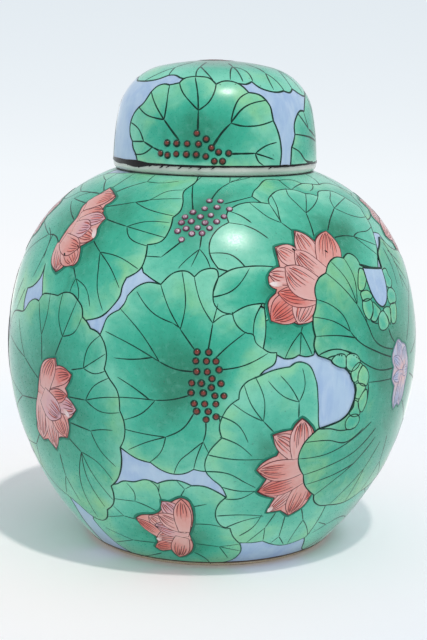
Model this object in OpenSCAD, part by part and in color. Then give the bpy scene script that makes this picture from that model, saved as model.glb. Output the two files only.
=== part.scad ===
// Ginger jar: an egg-shaped porcelain jar with an upright neck and a cap lid.
// The lid drops over the neck and rests on a flat seat ground on the shoulder.
// Seeds of raised enamel stand on both, in seed heads among painted leaves.
// The origin is the middle of the foot's resting plane, and the front faces -Y.

/* [Jar body] */
// Widest diameter of the belly
belly_d = 200; // [190:1:216]
// Height of the widest point above the table
belly_z = 97; // [92:1:102]
// Radius of the belly's curve above the widest point
belly_curve_r = 122; // [114:1:140]
// Height that the shoulder's curve would reach at its crown
shoulder_z = 185.3; // [181:0.1:190]
// Radius of the shoulder's curve
shoulder_curve_r = 72; // [68:0.5:76]
// Thickness of the jar's wall
jar_wall = 5; // [4:0.5:7]
// Thickness of the jar's floor
jar_floor = 7; // [5:0.5:10]

/* [Foot] */
// Outer diameter of the foot ring
foot_d = 117; // [104:1:126]
// Width of the foot ring across its resting face
foot_ring_w = 7; // [5:0.5:10]
// Depth of the recess inside the foot ring
foot_recess = 6; // [3:0.5:9]
// Radius that softens the foot ring's two edges
foot_edge_r = 1; // [0.4:0.1:1.5]

/* [Neck] */
// Outer diameter of the neck
neck_d = 86.8; // [80:0.2:90]
// Height of the neck above the lid's seat
neck_h = 22; // [14:1:30]
// Thickness of the neck's wall, which ends in a round lip
neck_wall = 5; // [4:0.5:6.5]

/* [Lid] */
// Height of the lid from its seat to its crown
lid_h = 52; // [48:0.5:58]
// Thickness of the lid's wall
lid_wall = 4.5; // [3.5:0.5:6]
// Clearance all round between the neck and the lid
lid_clearance = 1.4; // [0.8:0.1:2]
// Radius of the lid's side, seen from the front
lid_side_r = 130; // [110:2:180]
// Radius of the curve between the lid's side and its crown
lid_corner_r = 27; // [22:0.5:30]
// Radius of the lid's crown
lid_crown_r = 118; // [100:1:150]
// Radius that rounds the outer edge of the lid's rim
lid_edge_r = 2.8; // [1.5:0.1:3]

/* [Raised enamel] */
// Diameter of one seed where it meets the glaze
seed_d = 3; // [2:0.1:3.6]
// Height of a seed above the glaze
seed_rise = 1; // [0.6:0.1:1.3]
// Distance between neighbouring seeds
seed_pitch = 4.6; // [4:0.1:5.4]
// Middle of the seed heads on the belly, measured up the wall from its widest point
belly_head_s = -1; // [-6:1:6]
// Middle of the seed heads on the shoulder, measured the same way
shoulder_head_s = 75; // [72:1:78]
// Middle of the seed heads on the lid, measured up from the top of its rounded edge
lid_head_s = 9; // [9:0.5:14]

/* [Hidden] */

turn_fn = 240;
arc_step = 2;  // degrees between the points of an arc in a half section

belly_r = belly_d / 2;
foot_r = foot_d / 2;
neck_r = neck_d / 2;
neck_hole_r = neck_r - neck_wall;
floor_z = foot_recess + jar_floor;

// Centres of the jar's three arcs. Each is [radius, height] in the half section.
// The lower arc starts upright at the widest point and ends at the foot's edge.
lower_curve_r = ((belly_r - foot_r) ^ 2 + belly_z ^ 2) / (2 * (belly_r - foot_r));
lower_c = [belly_r - lower_curve_r, belly_z];
belly_c = [belly_r - belly_curve_r, belly_z];
arc_gap = belly_curve_r - shoulder_curve_r;
shoulder_up = shoulder_z - shoulder_curve_r - belly_z;
shoulder_turn = asin(shoulder_up / arc_gap);
shoulder_c = belly_c + arc_gap * [cos(shoulder_turn), sin(shoulder_turn)];

// Where the arcs end. Each turn is the lean of the surface's normal in degrees.
foot_turn = asin((foot_edge_r - belly_z) / (lower_curve_r - foot_edge_r));
foot_edge_c = lower_c + (lower_curve_r - foot_edge_r) * [cos(foot_turn), sin(foot_turn)];
floor_turn = asin((floor_z - belly_z) / (lower_curve_r - jar_wall));
neck_turn = acos((neck_hole_r - shoulder_c[0]) / (shoulder_curve_r - jar_wall));

// The lid's rim covers the neck, its clearance and its own wall.
lid_r = neck_r + lid_clearance + lid_wall;
lid_hole_r = lid_r - lid_wall;
seat_r = lid_r - lid_edge_r;
seat_turn = acos((seat_r - shoulder_c[0]) / shoulder_curve_r);
seat_z = shoulder_c[1] + shoulder_curve_r * sin(seat_turn);
neck_top = seat_z + neck_h;

// Centres of the lid's three arcs, measured from the seat. The corner's arc is
// tangent to the side's and to the crown's, so it lies where two circles meet.
side_c = [lid_r - lid_side_r, lid_edge_r];
crown_c = [0, lid_h - lid_crown_r];
corner_c = circles_meet(side_c, lid_side_r - lid_corner_r, crown_c, lid_crown_r - lid_corner_r);
side_turn = bearing(corner_c - side_c);
crown_turn = bearing(corner_c - crown_c);

seed_ball_r = ((seed_d / 2) ^ 2 + seed_rise ^ 2) / (2 * seed_rise);

// Seed heads. Each has [azimuth, distance up the wall, turn] and its rows from
// the top. A row is [height above the head's middle, places to the right of it],
// both in pitches. Azimuth 0 is the front and grows to the right. On the jar the
// distance is measured from the widest point, and on the lid from its rounded edge.
tall_head = [
    [3.15, [-1, 0.1]], [2.3, [-1.1, -0.1, 0.8]], [1.3, [-1, 0]], [1.5, [1.1]], [0.65, [0.45]],
    [0.2, [-1.45, -0.55, 1.3]], [-0.2, [0.4]], [-0.75, [-1.5, -0.35]], [-1, [0.75, 1.6]],
    [-1.8, [-1.2, -0.2, 0.85]], [-2.55, [-0.95, 0.15]], [-3.05, [0.9]], [-3.35, [-0.05]],
];
wide_head = [
    [2, [1.4]], [1.5, [2.5]], [1.15, [-0.7, 0.55]], [0.85, [-1.6, 1.8]], [0.3, [-2.1, -0.2]],
    [0.1, [-1.2, 0.8, 2.85]], [-0.55, [-2.7, -1.9, -0.05, 1.9]], [-0.85, [-0.9, 1]],
    [-1.3, [-1.6, 0.1]], [-1.6, [-2.65, -0.75]],
];
low_head = [
    [1.65, [0]], [1.1, [0.95]], [0.6, [-3.1, -2.05, -0.95, 0.2]], [0.25, [1.5]], [-0.15, [2.2]],
    [-0.25, [3.2]], [-0.45, [-3.8, -2.05, -1, 0]], [-0.6, [-3, 0.95]], [-1.05, [1.8, 2.6]],
];
jar_heads = [for (side = [0, 180])
    each [[[side - 1, belly_head_s, 0], tall_head], [[side - 3.5, shoulder_head_s, 24], wide_head]]
];
lid_heads = [for (side = [0, 180]) [[side - 10, lid_head_s, 0], low_head]];

// Direction of a vector in the half section, in degrees from level
function bearing(v) = atan2(v[1], v[0]);

// The outer one of the two points at distances ra from a and rb from b
function circles_meet(a, ra, b, rb) =
    let (d = norm(b - a), along = (d ^ 2 + ra ^ 2 - rb ^ 2) / (2 * d),
         dir = (b - a) / d, up = sqrt(ra ^ 2 - along ^ 2))
    a + along * dir + up * [-dir[1], dir[0]];

// A point on an arc as [radius, height, lean of the surface's normal]
function on_arc(c, r, turn) = [c[0] + r * cos(turn), c[1] + r * sin(turn), turn];

// Degrees that a length covers on an arc
function degrees(length, r) = length / r * 180 / PI;

// The jar's wall at a distance up from its widest point
function jar_at(s) =
    let (belly_len = belly_curve_r * shoulder_turn * PI / 180)
    s < 0 ? on_arc(lower_c, lower_curve_r, degrees(s, lower_curve_r))
    : s < belly_len ? on_arc(belly_c, belly_curve_r, degrees(s, belly_curve_r))
    : on_arc(shoulder_c, shoulder_curve_r, shoulder_turn + degrees(s - belly_len, shoulder_curve_r));

// The lid's wall at a distance up from the top of its rounded edge
function lid_at(s) =
    let (side_len = lid_side_r * side_turn * PI / 180)
    s < side_len ? on_arc(side_c, lid_side_r, degrees(s, lid_side_r))
    : on_arc(corner_c, lid_corner_r, side_turn + degrees(s - side_len, lid_corner_r));

// Points along an arc in the half section, without its last one, which is where
// the next stretch of the outline starts
function arc(c, r, from, to) =
    let (steps = ceil(abs(to - from) / arc_step))
    [for (k = [0 : steps - 1])
        let (turn = from + (to - from) * k / steps) c + r * [cos(turn), sin(turn)]];

// The jar's outline from the foot's resting face up to the lid's seat
function jar_outside() = concat(
    arc(foot_edge_c, foot_edge_r, -90, foot_turn),
    arc(lower_c, lower_curve_r, foot_turn, 0),
    arc(belly_c, belly_curve_r, 0, shoulder_turn),
    arc(shoulder_c, shoulder_curve_r, shoulder_turn, seat_turn),
    [[seat_r, seat_z]]
);

// The hollow's outline from the root of the neck down to the floor
function jar_inside() = concat(
    arc(shoulder_c, shoulder_curve_r - jar_wall, neck_turn, shoulder_turn),
    arc(belly_c, belly_curve_r - jar_wall, shoulder_turn, 0),
    arc(lower_c, lower_curve_r - jar_wall, 0, floor_turn),
    [lower_c + (lower_curve_r - jar_wall) * [cos(floor_turn), sin(floor_turn)], [0, floor_z]]
);

module jar_body() {
    recess_r = foot_r - foot_ring_w;
    lip_c = [neck_r - neck_wall / 2, neck_top - neck_wall / 2];
    color("honeydew") rotate_extrude($fn = turn_fn) polygon(concat(
        [[0, foot_recess], [recess_r, foot_recess]],
        arc([recess_r + foot_edge_r, foot_edge_r], foot_edge_r, 180, 270),
        [[recess_r + foot_edge_r, 0]],
        jar_outside(),
        [[neck_r, seat_z]],
        arc(lip_c, neck_wall / 2, 0, 180),
        [[neck_hole_r, lip_c[1]]],
        jar_inside()
    ));
}

module lid() {
    color("honeydew") translate([0, 0, seat_z]) rotate_extrude($fn = turn_fn) polygon(concat(
        [[lid_hole_r, 0]],
        arc([seat_r, lid_edge_r], lid_edge_r, -90, 0),
        arc(side_c, lid_side_r, 0, side_turn),
        arc(corner_c, lid_corner_r, side_turn, crown_turn),
        arc(crown_c, lid_crown_r, crown_turn, 90),
        [[0, lid_h], [0, lid_h - lid_wall]],
        // the crown's underside, which leaves the axis one step out
        [for (p = arc(crown_c, lid_crown_r - lid_wall, 90, crown_turn)) if (p[0] > 0.01) p],
        arc(corner_c, lid_corner_r - lid_wall, crown_turn, side_turn),
        arc(side_c, lid_side_r - lid_wall, side_turn, 0),
        [[lid_hole_r, lid_edge_r]]
    ));
}

// A seed standing on the origin: the part of a ball above a flat seat
module seed() {
    difference() {
        translate([0, 0, seed_rise - seed_ball_r]) sphere(r = seed_ball_r, $fn = 48);
        translate([-seed_d, -seed_d, -2 * seed_ball_r]) cube([2 * seed_d, 2 * seed_d, 2 * seed_ball_r]);
    }
}

// The seeds of one seed head, each upright on the wall of the jar or of the lid
module seed_head(head, is_lid) {
    centre = head[0];
    rows = head[1];
    mid_r = (is_lid ? lid_at(centre[1]) : jar_at(centre[1]))[0];
    for (row = rows, place = row[1]) {
        across = place * seed_pitch;
        up = row[0] * seed_pitch;
        u = across * cos(centre[2]) - up * sin(centre[2]);
        s = centre[1] + across * sin(centre[2]) + up * cos(centre[2]);
        p = is_lid ? lid_at(s) : jar_at(s);
        rotate([0, 0, centre[0] + degrees(u, mid_r)])
            translate([0, -p[0], p[1]]) rotate([90 - p[2], 0, 0]) seed();
    }
}

module jar_seeds() {
    color("firebrick") for (head = jar_heads) seed_head(head, false);
}

module lid_seeds() {
    color("firebrick") translate([0, 0, seat_z]) for (head = lid_heads) seed_head(head, true);
}

jar_body();
lid();
jar_seeds();
lid_seeds();
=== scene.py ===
"""Looks for the ginger jar: lotus-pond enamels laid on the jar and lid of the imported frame.

Positions on a wall are written as (azimuth in degrees, s in millimetres). Azimuth 0 faces the
camera and grows to the right. On the jar, s runs up the wall from the widest point. On the lid it
runs up from the top of the rounded bottom edge to the middle of the crown.
"""
import math

import bpy
import numpy as np
from mathutils import Matrix, Vector, noise
from mathutils.geometry import delaunay_2d_cdt


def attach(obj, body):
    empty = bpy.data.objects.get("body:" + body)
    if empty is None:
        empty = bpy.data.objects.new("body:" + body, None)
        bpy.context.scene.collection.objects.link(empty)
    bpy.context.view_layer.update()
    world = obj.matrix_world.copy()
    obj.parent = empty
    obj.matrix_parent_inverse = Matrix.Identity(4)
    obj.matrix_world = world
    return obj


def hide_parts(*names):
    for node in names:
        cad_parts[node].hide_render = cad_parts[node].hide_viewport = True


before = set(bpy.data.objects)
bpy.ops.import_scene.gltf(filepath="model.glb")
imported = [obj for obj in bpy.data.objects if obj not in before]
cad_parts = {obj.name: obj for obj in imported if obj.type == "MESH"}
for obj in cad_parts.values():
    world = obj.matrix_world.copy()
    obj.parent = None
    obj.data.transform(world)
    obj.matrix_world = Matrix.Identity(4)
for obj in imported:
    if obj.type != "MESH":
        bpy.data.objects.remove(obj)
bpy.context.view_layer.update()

MM = 0.001
# heights over the wall, in mm
FIRST_RISE = 0.06     # top of the enamel on layer 0
LAYER = 0.05          # from one painted layer to the next
BURY = 0.28           # how deep an enamel's underside sits in the wall
INK_RISE = 0.028      # an inked line over its layer
INK_BURY = 0.1        # how deep an inked line's foot sits in the wall
PETAL_RISE = 0.022    # from one petal to the next
BODY_RISE = 0.03      # the first petal over a blossom's body
# inked lines, in mm or as a share of their width
INK_STEP, INK_LEAST = 1.2, 0.2             # distances between the places that a line runs through
INK_TOP, INK_TIP, INK_WOBBLE = 0.85, 0.35, 0.3
WOBBLE_SCALE = 260                         # wavers in a metre
EDGE_WIDTH, CELL_EDGE, VEIN_WIDTH, TWIG_WIDTH, VEIN_END = 0.68, 0.6, 0.82, 0.62, 0.42
VEIN_ROOT, VEIN_OVER = 1.0, 0.5            # how far veins run on at the heart and over the edge
# strokes on and round petals: (width, lift), and the drops of a petal's own strokes
SHADOW, PETAL_HALO, BODY_HALO, BODY_RIM = (3.0, -0.043), (1.1, -0.035), (1.0, -0.035), (0.4, -0.012)
RIM_WIDTH, RIM_DROP, LINE_DROP = 0.42, 0.018, 0.014
LINE_WIDTHS, ROSE_WIDTHS = (0.5, 0.3), (0.85, 0.45)
LINE_GAP, LINE_REACH = 1.7, 0.85             # mm from line to line, and how far across they reach
# meshes, in mm: distances between an enamel's inner points, and between those of its edge
GRID, FINE_GRID, CELL_GRID = 2.0, 1.4, 1.6
STEP, FINE_STEP = 1.0, 0.8
# enamel's surface: features in a metre, and depth in metres
GRAIN, PEEL, RIPPLE, BUMP = 1100.0, 900.0, 90.0, 0.0004

FILL, FILL_COLOUR = 0.66, (0.97, 0.99, 1.02, 1.0)
KEY, KEY_ANGLE, KEY_COLOUR = 1.15, 0.05, (1.05, 1.0, 0.94)
KEY_FROM = Vector((0.185, -0.38, 1.0)).normalized()
EYE, EYE_TILT, EYE_ROLL, EYE_LENS = (0.0006, -0.7338, 0.2373), -10.07, 0.95, 84.4
rng = np.random.default_rng(7)


# ---------------------------------------------------------------- the two walls as charts

class Wall:
    """A turned wall made of arcs: each is (centre r, centre z, radius, lean at start, length)."""

    def __init__(self, body, arcs, start, end, base_z):
        self.body, self.arcs, self.start, self.end, self.base_z = body, arcs, start, end, base_z

    def section(self, s):
        """Radius, height and lean of the wall's outside at s, as arrays."""
        s = np.asarray(s, float)
        r, z, lean = np.zeros_like(s), np.zeros_like(s), np.zeros_like(s)
        begin = self.start
        for number, (cr, cz, radius, lean0, length) in enumerate(self.arcs):
            here = s >= begin - 1e-9 if number else np.ones_like(s, bool)
            a = lean0 + (s - begin) / radius
            r = np.where(here, cr + radius * np.cos(a), r)
            z = np.where(here, cz + radius * np.sin(a), z)
            lean = np.where(here, a, lean)
            begin += length
        return r, z + self.base_z, lean

    def place(self, az, s, lift=0.0):
        """Points in metres, lift millimetres off the wall."""
        az = np.radians(np.asarray(az, float))
        r, z, lean = self.section(s)
        r = r + lift * np.cos(lean)
        z = z + lift * np.sin(lean)
        return np.stack([r * np.sin(az), -r * np.cos(az), z], -1) * MM

    def normal(self, az, s):
        az = np.radians(np.asarray(az, float))
        lean = self.section(s)[2]
        return np.stack([np.cos(lean) * np.sin(az), -np.cos(lean) * np.cos(az), np.sin(lean)], -1)


def jar_wall():
    belly_z, belly_r = 97.0, 100.0
    low, mid, top, top_length, seat = 134.11, 122.0, 72.0, 80.0, 108.2
    down = math.asin(belly_z / low)
    shoulder = math.radians(19.026)
    centre_r = belly_r - mid + (mid - top) * math.cos(shoulder)
    centre_z = belly_z + (mid - top) * math.sin(shoulder)
    arcs = [(belly_r - low, belly_z, low, -down, down * low),
            (belly_r - mid, belly_z, mid, 0.0, shoulder * mid),
            (centre_r, centre_z, top, shoulder, top_length)]
    return Wall("jar", arcs, -down * low, seat, 0.0)


def lid_wall():
    side, corner, crown, top, base_z = 130.0, 27.0, 118.0, 82.96, 182.098
    low, high = math.radians(11.136), math.radians(77.071)
    arcs = [(-80.7, 2.8, side, 0.0, low * side),
            (20.361, 22.693, corner, low, (high - low) * corner),
            (0.0, -66.0, crown, high, (math.pi / 2 - high) * crown)]
    return Wall("lid", arcs, 0.0, top, base_z)


JAR, LID = jar_wall(), lid_wall()


class Sheet:
    """A flat map of part of a wall, in mm. side=True unrolls it, otherwise it is seen from the top."""

    def __init__(self, wall, middle_s, side=True):
        self.wall, self.side = wall, side
        self.per_degree = math.radians(1) * float(wall.section(middle_s)[0])

    def flat(self, points):
        p = np.asarray(points, float)
        if self.side:
            return np.stack([p[:, 0] * self.per_degree, p[:, 1]], -1)
        out, az = self.wall.end - p[:, 1], np.radians(p[:, 0])
        return np.stack([out * np.sin(az), -out * np.cos(az)], -1)

    def back(self, uv):
        """Azimuths and s of flat places."""
        if self.side:
            return uv[:, 0] / self.per_degree, uv[:, 1]
        return np.degrees(np.arctan2(uv[:, 0], -uv[:, 1])), self.wall.end - np.hypot(uv[:, 0], uv[:, 1])


# ---------------------------------------------------------------- drawn lines

def smooth_run(points, step):
    """A smooth curve through the points, sampled about every step."""
    p = np.asarray(points, float)
    if len(p) == 2:
        n = max(2, int(np.hypot(*(p[1] - p[0])) / step) + 1)
        return p[0] + (p[1] - p[0]) * np.linspace(0, 1, n)[:, None]
    gaps = np.maximum(np.hypot(*(p[1:] - p[:-1]).T), 1e-6)
    slope = np.zeros_like(p)
    chord = (p[1:] - p[:-1]) / gaps[:, None]
    share = (gaps[:-1] / (gaps[:-1] + gaps[1:]))[:, None]
    slope[1:-1] = chord[:-1] * (1 - share) + chord[1:] * share
    slope[0] = 1.5 * chord[0] - 0.5 * slope[1]
    slope[-1] = 1.5 * chord[-1] - 0.5 * slope[-2]
    out = []
    for i, gap in enumerate(gaps):
        n = max(1, int(math.ceil(gap / step)))
        t = (np.arange(n) / n)[:, None]
        a, b = slope[i] * gap, slope[i + 1] * gap
        out.append((2 * t**3 - 3 * t**2 + 1) * p[i] + (t**3 - 2 * t**2 + t) * a
                   + (3 * t**2 - 2 * t**3) * p[i + 1] + (t**3 - t**2) * b)
    return np.vstack(out + [p[-1:]])


def shifted(points, turn):
    """The same places, turned about the jar's axis."""
    return [(p[0] + turn,) + tuple(p[1:]) for p in points]


def margin(sheet, outline, turn=0.0, step=STEP):
    """An outline's closed edge in flat mm. A point with a third value is a notch, left sharp."""
    notches = [i for i, p in enumerate(outline) if len(p) > 2]
    flat = sheet.flat([p[:2] for p in shifted(outline, turn)])
    if not notches:
        n = len(flat)
        run = smooth_run(np.vstack([flat[-3:], flat, flat[:3]]), step)
        first = np.argmin(np.hypot(*(run - flat[0]).T))
        last = len(run) - 1 - np.argmin(np.hypot(*(run[::-1] - flat[0]).T))
        return run[first:last] if last > first + n else flat
    flat = np.roll(flat, -notches[0], axis=0)
    turns = [i - notches[0] for i in notches] + [len(flat)]
    flat = np.vstack([flat, flat[:1]])
    return np.vstack([smooth_run(flat[a:b + 1], step)[:-1] for a, b in zip(turns[:-1], turns[1:])])


def thinned(loop, least=0.25):
    """Drops points that lie almost on top of the one before."""
    keep = [loop[0]]
    for p in loop[1:]:
        if np.hypot(*(p - keep[-1])) > least:
            keep.append(p)
    if np.hypot(*(keep[-1] - keep[0])) < least:
        keep.pop()
    return np.array(keep)


def longer(path, before, after):
    """A path with its ends carried on straight by so many mm."""
    first, last = path[0] - path[1], path[-1] - path[-2]
    head = path[0] + first / max(np.hypot(*first), 1e-6) * before
    tail = path[-1] + last / max(np.hypot(*last), 1e-6) * after
    return np.vstack([head, path[1:-1], tail])


def inside(uv, loop):
    """Which flat points lie inside a closed loop."""
    x, y = uv[:, 0][:, None], uv[:, 1][:, None]
    a, b = loop, np.roll(loop, -1, axis=0)
    span = (a[:, 1] > y) != (b[:, 1] > y)
    rise = np.where(b[:, 1] == a[:, 1], 1e-9, b[:, 1] - a[:, 1])
    return (span & (x < (b[:, 0] - a[:, 0]) * (y - a[:, 1]) / rise + a[:, 0])).sum(1) % 2 == 1


def nearest(points, targets):
    """Distance in mm from each point to the closest target, both in metres."""
    best, batch = np.full(len(points), 1e9), 2000
    for i in range(0, len(points), batch):
        d = points[i:i + batch, None, :] - targets[None, :, :]
        best[i:i + batch] = np.sqrt((d * d).sum(-1)).min(1)
    return best / MM


# ---------------------------------------------------------------- materials

def paint(r, g, b):
    """A colour as seen on screen, turned into the shader's linear values."""
    def linear(c):
        c /= 255.0
        return c / 12.92 if c <= 0.04045 else ((c + 0.055) / 1.055) ** 2.4
    return (linear(r), linear(g), linear(b), 1.0)


class Tree:
    """Short calls for building a node tree. A tuple of three is a colour as seen on screen."""

    def __init__(self, tree):
        self.tree = tree

    def add(self, kind, **settings):
        node = self.tree.nodes.new("ShaderNode" + kind)
        for key, value in settings.items():
            setattr(node, key, value)
        return node

    def put(self, *pairs):
        for socket, value in pairs:
            if isinstance(value, bpy.types.NodeSocket):
                self.tree.links.new(value, socket)
            else:
                socket.default_value = paint(*value) if isinstance(value, tuple) else value

    def fed(self, node, *values):
        """The node's first output, its first inputs taking the values."""
        self.put(*zip(node.inputs, values))
        return node.outputs[0]

    def math(self, op, a, b=0.0, c=0.0, clamp=False):
        return self.fed(self.add("Math", operation=op, use_clamp=clamp), a, b, c)

    def ramp(self, value, low, high, to_low=0.0, to_high=1.0, smooth=True):
        kind = "SMOOTHSTEP" if smooth else "LINEAR"
        return self.fed(self.add("MapRange", interpolation_type=kind), value, low, high, to_low, to_high)

    def mix(self, fac, a, b):
        node = self.add("Mix", data_type="RGBA")
        self.put((node.inputs[0], fac), (node.inputs[6], a), (node.inputs[7], b))
        return node.outputs[2]

    def surface(self, output, fac, a, b):
        """Shows a shader blended from a to b."""
        blend = self.fed(self.add("MixShader"), fac, a, b)
        self.put((self.tree.nodes[output].inputs["Surface"], blend))


class Paint(Tree):
    """The node tree of one material."""

    def __init__(self, name, rough, haze=0.0, **settings):
        self.material = bpy.data.materials.new(name)
        self.material.use_nodes = True
        super().__init__(self.material.node_tree)
        self.shader = self.tree.nodes["Principled BSDF"]
        self.set(roughness=rough, ior=1.57, sheen_weight=haze, sheen_roughness=0.24, **settings)

    def set(self, **values):
        names = {name.lower().replace(" ", "_"): name for name in self.shader.inputs.keys()}
        self.put(*((self.shader.inputs[names[key]], value) for key, value in values.items()))

    def value(self, name, kind="Fac"):
        return self.add("Attribute", attribute_name=name).outputs[kind]

    def axes(self):
        node = self.add("SeparateXYZ")
        self.fed(node, self.add("TexCoord").outputs["Object"])
        return node.outputs

    def stretched(self, *pairs):
        """A vector of values, each multiplied by its own factor."""
        return self.fed(self.add("CombineXYZ"), *(self.math("MULTIPLY", v, f) for v, f in pairs))

    def noise(self, scale, detail=3.0, rough=0.5, distort=0.0, spot=None):
        node = self.add("TexNoise")
        self.put((node.inputs["Vector"], spot or self.add("TexCoord").outputs["Object"]),
                 (node.inputs["Scale"], scale), (node.inputs["Detail"], detail),
                 (node.inputs["Roughness"], rough), (node.inputs["Distortion"], distort))
        return node.outputs["Fac"]

    def uneven(self, coarse=RIPPLE, strength=0.1):
        """Enamel's slight unevenness: broad ripples and fine orange peel."""
        node = self.add("Bump")
        fine = self.math("MULTIPLY", self.noise(PEEL, 2.0, 0.5), 0.25)
        self.put((node.inputs["Strength"], strength), (node.inputs["Distance"], BUMP),
                 (node.inputs["Height"], self.math("ADD", self.noise(coarse, 2.0, 0.5), fine)))
        self.set(normal=node.outputs[0])

    def enamel(self, colour, bright, dull, coarse=RIPPLE, strength=0.1, grain=GRAIN, grain_rough=0.6):
        """Lays on the colour with a fine grained gloss and an uneven surface."""
        self.set(base_color=colour,
                 roughness=self.ramp(self.noise(grain, 2.0, grain_rough), 0.3, 0.7, bright, dull))
        self.uneven(coarse, strength)
        return self.material


def leaf_enamel():
    """Emerald at the leaf's heart, washed out in patches to mint and lime towards its edge."""
    n = Paint("leaf_enamel", 0.3, haze=0.8)
    reach, rim, tone = n.value("reach"), n.value("rim"), n.value("tone")
    broad, patch = n.noise(34.0, 3.0, 0.5, 0.5), n.noise(95.0, 4.0, 0.6, 1.0)
    brush, tint = n.noise(300.0, 3.0, 0.6, 0.5), n.noise(52.0, 2.0, 0.5, 0.3)
    sway = n.math("MULTIPLY_ADD", patch, 0.55, n.math("MULTIPLY", broad, 0.8))
    wash = n.math("ADD", reach, n.math("SUBTRACT", sway, 0.66))
    green = n.mix(n.ramp(wash, 0.1, 0.72), (0, 129, 99), (44, 178, 148))
    lime = n.ramp(n.math("MULTIPLY_ADD", n.value("lime"), 0.26, tint), 0.56, 0.86, 0.0, 0.75)
    pale = n.mix(lime, (122, 210, 180), (142, 210, 140))
    colour = n.mix(n.ramp(wash, 0.66, 1.1), green, pale)
    film = n.math("MULTIPLY", n.ramp(rim, 0.3, 3.2, 1.0, 0.0), n.ramp(patch, 0.4, 0.65, 0.1, 0.55))
    colour = n.mix(film, colour, n.mix(lime, (140, 214, 184), (154, 214, 144)))
    colour = n.mix(n.ramp(tone, 0.0, 1.0, smooth=False), colour, (0, 128, 97))
    colour = n.mix(n.ramp(tone, 0.0, -1.0, smooth=False), colour, (120, 214, 190))
    colour = n.mix(n.ramp(brush, 0.5, 0.8, 0.0, 0.24), colour, (130, 212, 192))
    colour = n.mix(n.ramp(brush, 0.5, 0.25, 0.0, 0.14), colour, (0, 116, 90))
    speck = n.ramp(n.noise(760.0, 0.0), 0.84, 0.87, 0.0, 0.42)
    return n.enamel(n.mix(speck, colour, (16, 70, 58)), 0.27, 0.32)


def water_enamel():
    """Pale blue laid on in soft upright strokes."""
    n = Paint("water_enamel", 0.3, haze=0.8)
    x, y, z = n.axes()
    strokes = n.noise(1.0, 3.0, 0.6, 0.3, n.stretched((x, 240.0), (y, 240.0), (z, 60.0)))
    broad = n.noise(45.0, 3.0, 0.5, 0.8)
    colour = n.mix(n.ramp(broad, 0.35, 0.7), (176, 204, 230), (160, 190, 226))
    colour = n.mix(n.ramp(strokes, 0.42, 0.7, 0.0, 0.55), colour, (192, 214, 236))
    colour = n.mix(n.ramp(strokes, 0.45, 0.25, 0.0, 0.4), colour, (146, 178, 218))
    return n.enamel(colour, 0.28, 0.35)


def petal_enamel():
    """Streaked coral that deepens towards each petal's tip and pales along its edges."""
    n = Paint("petal_enamel", 0.31, haze=0.8)
    along, across, tint = n.value("along"), n.value("across"), n.value("tint", "Color")
    patch = n.noise(170.0, 3.0, 0.6, 0.8)
    lanes = n.stretched((across, 5.0), (along, 1.6), (n.value("seed"), 9.0))
    streak = n.noise(1.0, 3.0, 0.6, 0.4, lanes)
    depth = n.math("MULTIPLY_ADD", patch, 0.8, n.math("MULTIPLY_ADD", streak, 0.8, along))
    colour = n.mix(n.ramp(depth, 0.7, 1.6), (226, 178, 172), tint)
    edge = n.ramp(n.math("ABSOLUTE", across), 0.55, 1.0, 0.0, 0.35)
    colour = n.mix(edge, colour, (230, 190, 188))
    colour = n.mix(n.ramp(streak, 0.55, 0.75, 0.0, 0.6), colour, (234, 200, 198))
    colour = n.mix(n.ramp(streak, 0.46, 0.3, 0.0, 0.6), colour, (206, 104, 92))
    return n.enamel(colour, 0.3, 0.38, 160.0, 0.15)


def ink_enamel(name, colour, other):
    n = Paint(name, 0.32, haze=0.35, specular_ior_level=0.2)
    mixed = n.mix(n.ramp(n.noise(420.0, 3.0, 0.6), 0.4, 0.65), colour, other)
    return n.enamel(mixed, 0.28, 0.4, 300.0, grain=PEEL, grain_rough=0.5)


def bead_enamel(name, bright, dull, foot):
    """Thick enamel, darker where it meets its ring."""
    n = Paint(name, 0.16)
    patch = n.noise(700.0, 3.0, 0.6)
    colour = n.mix(n.ramp(patch, 0.35, 0.7), bright, dull)
    n.set(base_color=n.mix(n.ramp(n.value("up"), 0.2, 0.65), foot, colour),
          roughness=n.ramp(patch, 0.3, 0.7, 0.12, 0.22))
    return n.material


def porcelain():
    """White glazed porcelain with a bare, tan foot ring."""
    n = Paint("porcelain", 0.18)
    speck, cloud, z = n.noise(1500.0, 2.0, 0.6), n.noise(60.0, 3.0, 0.5), n.axes()[2]
    glaze = n.mix(n.ramp(cloud, 0.35, 0.7), (212, 217, 208), (196, 204, 194))
    glaze = n.mix(n.ramp(n.noise(260.0, 4.0, 0.7), 0.6, 0.75, 0.0, 0.45), glaze, (166, 176, 164))
    clay = n.mix(n.ramp(speck, 0.4, 0.65), (226, 214, 190), (204, 188, 160))
    bare = n.ramp(n.math("MULTIPLY_ADD", speck, 0.0006, z), 0.0026, 0.0031, 1.0, 0.0)
    n.set(base_color=n.mix(bare, glaze, clay), roughness=n.ramp(bare, 0.0, 1.0, 0.18, 0.75))
    n.uneven()
    return n.material


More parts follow.
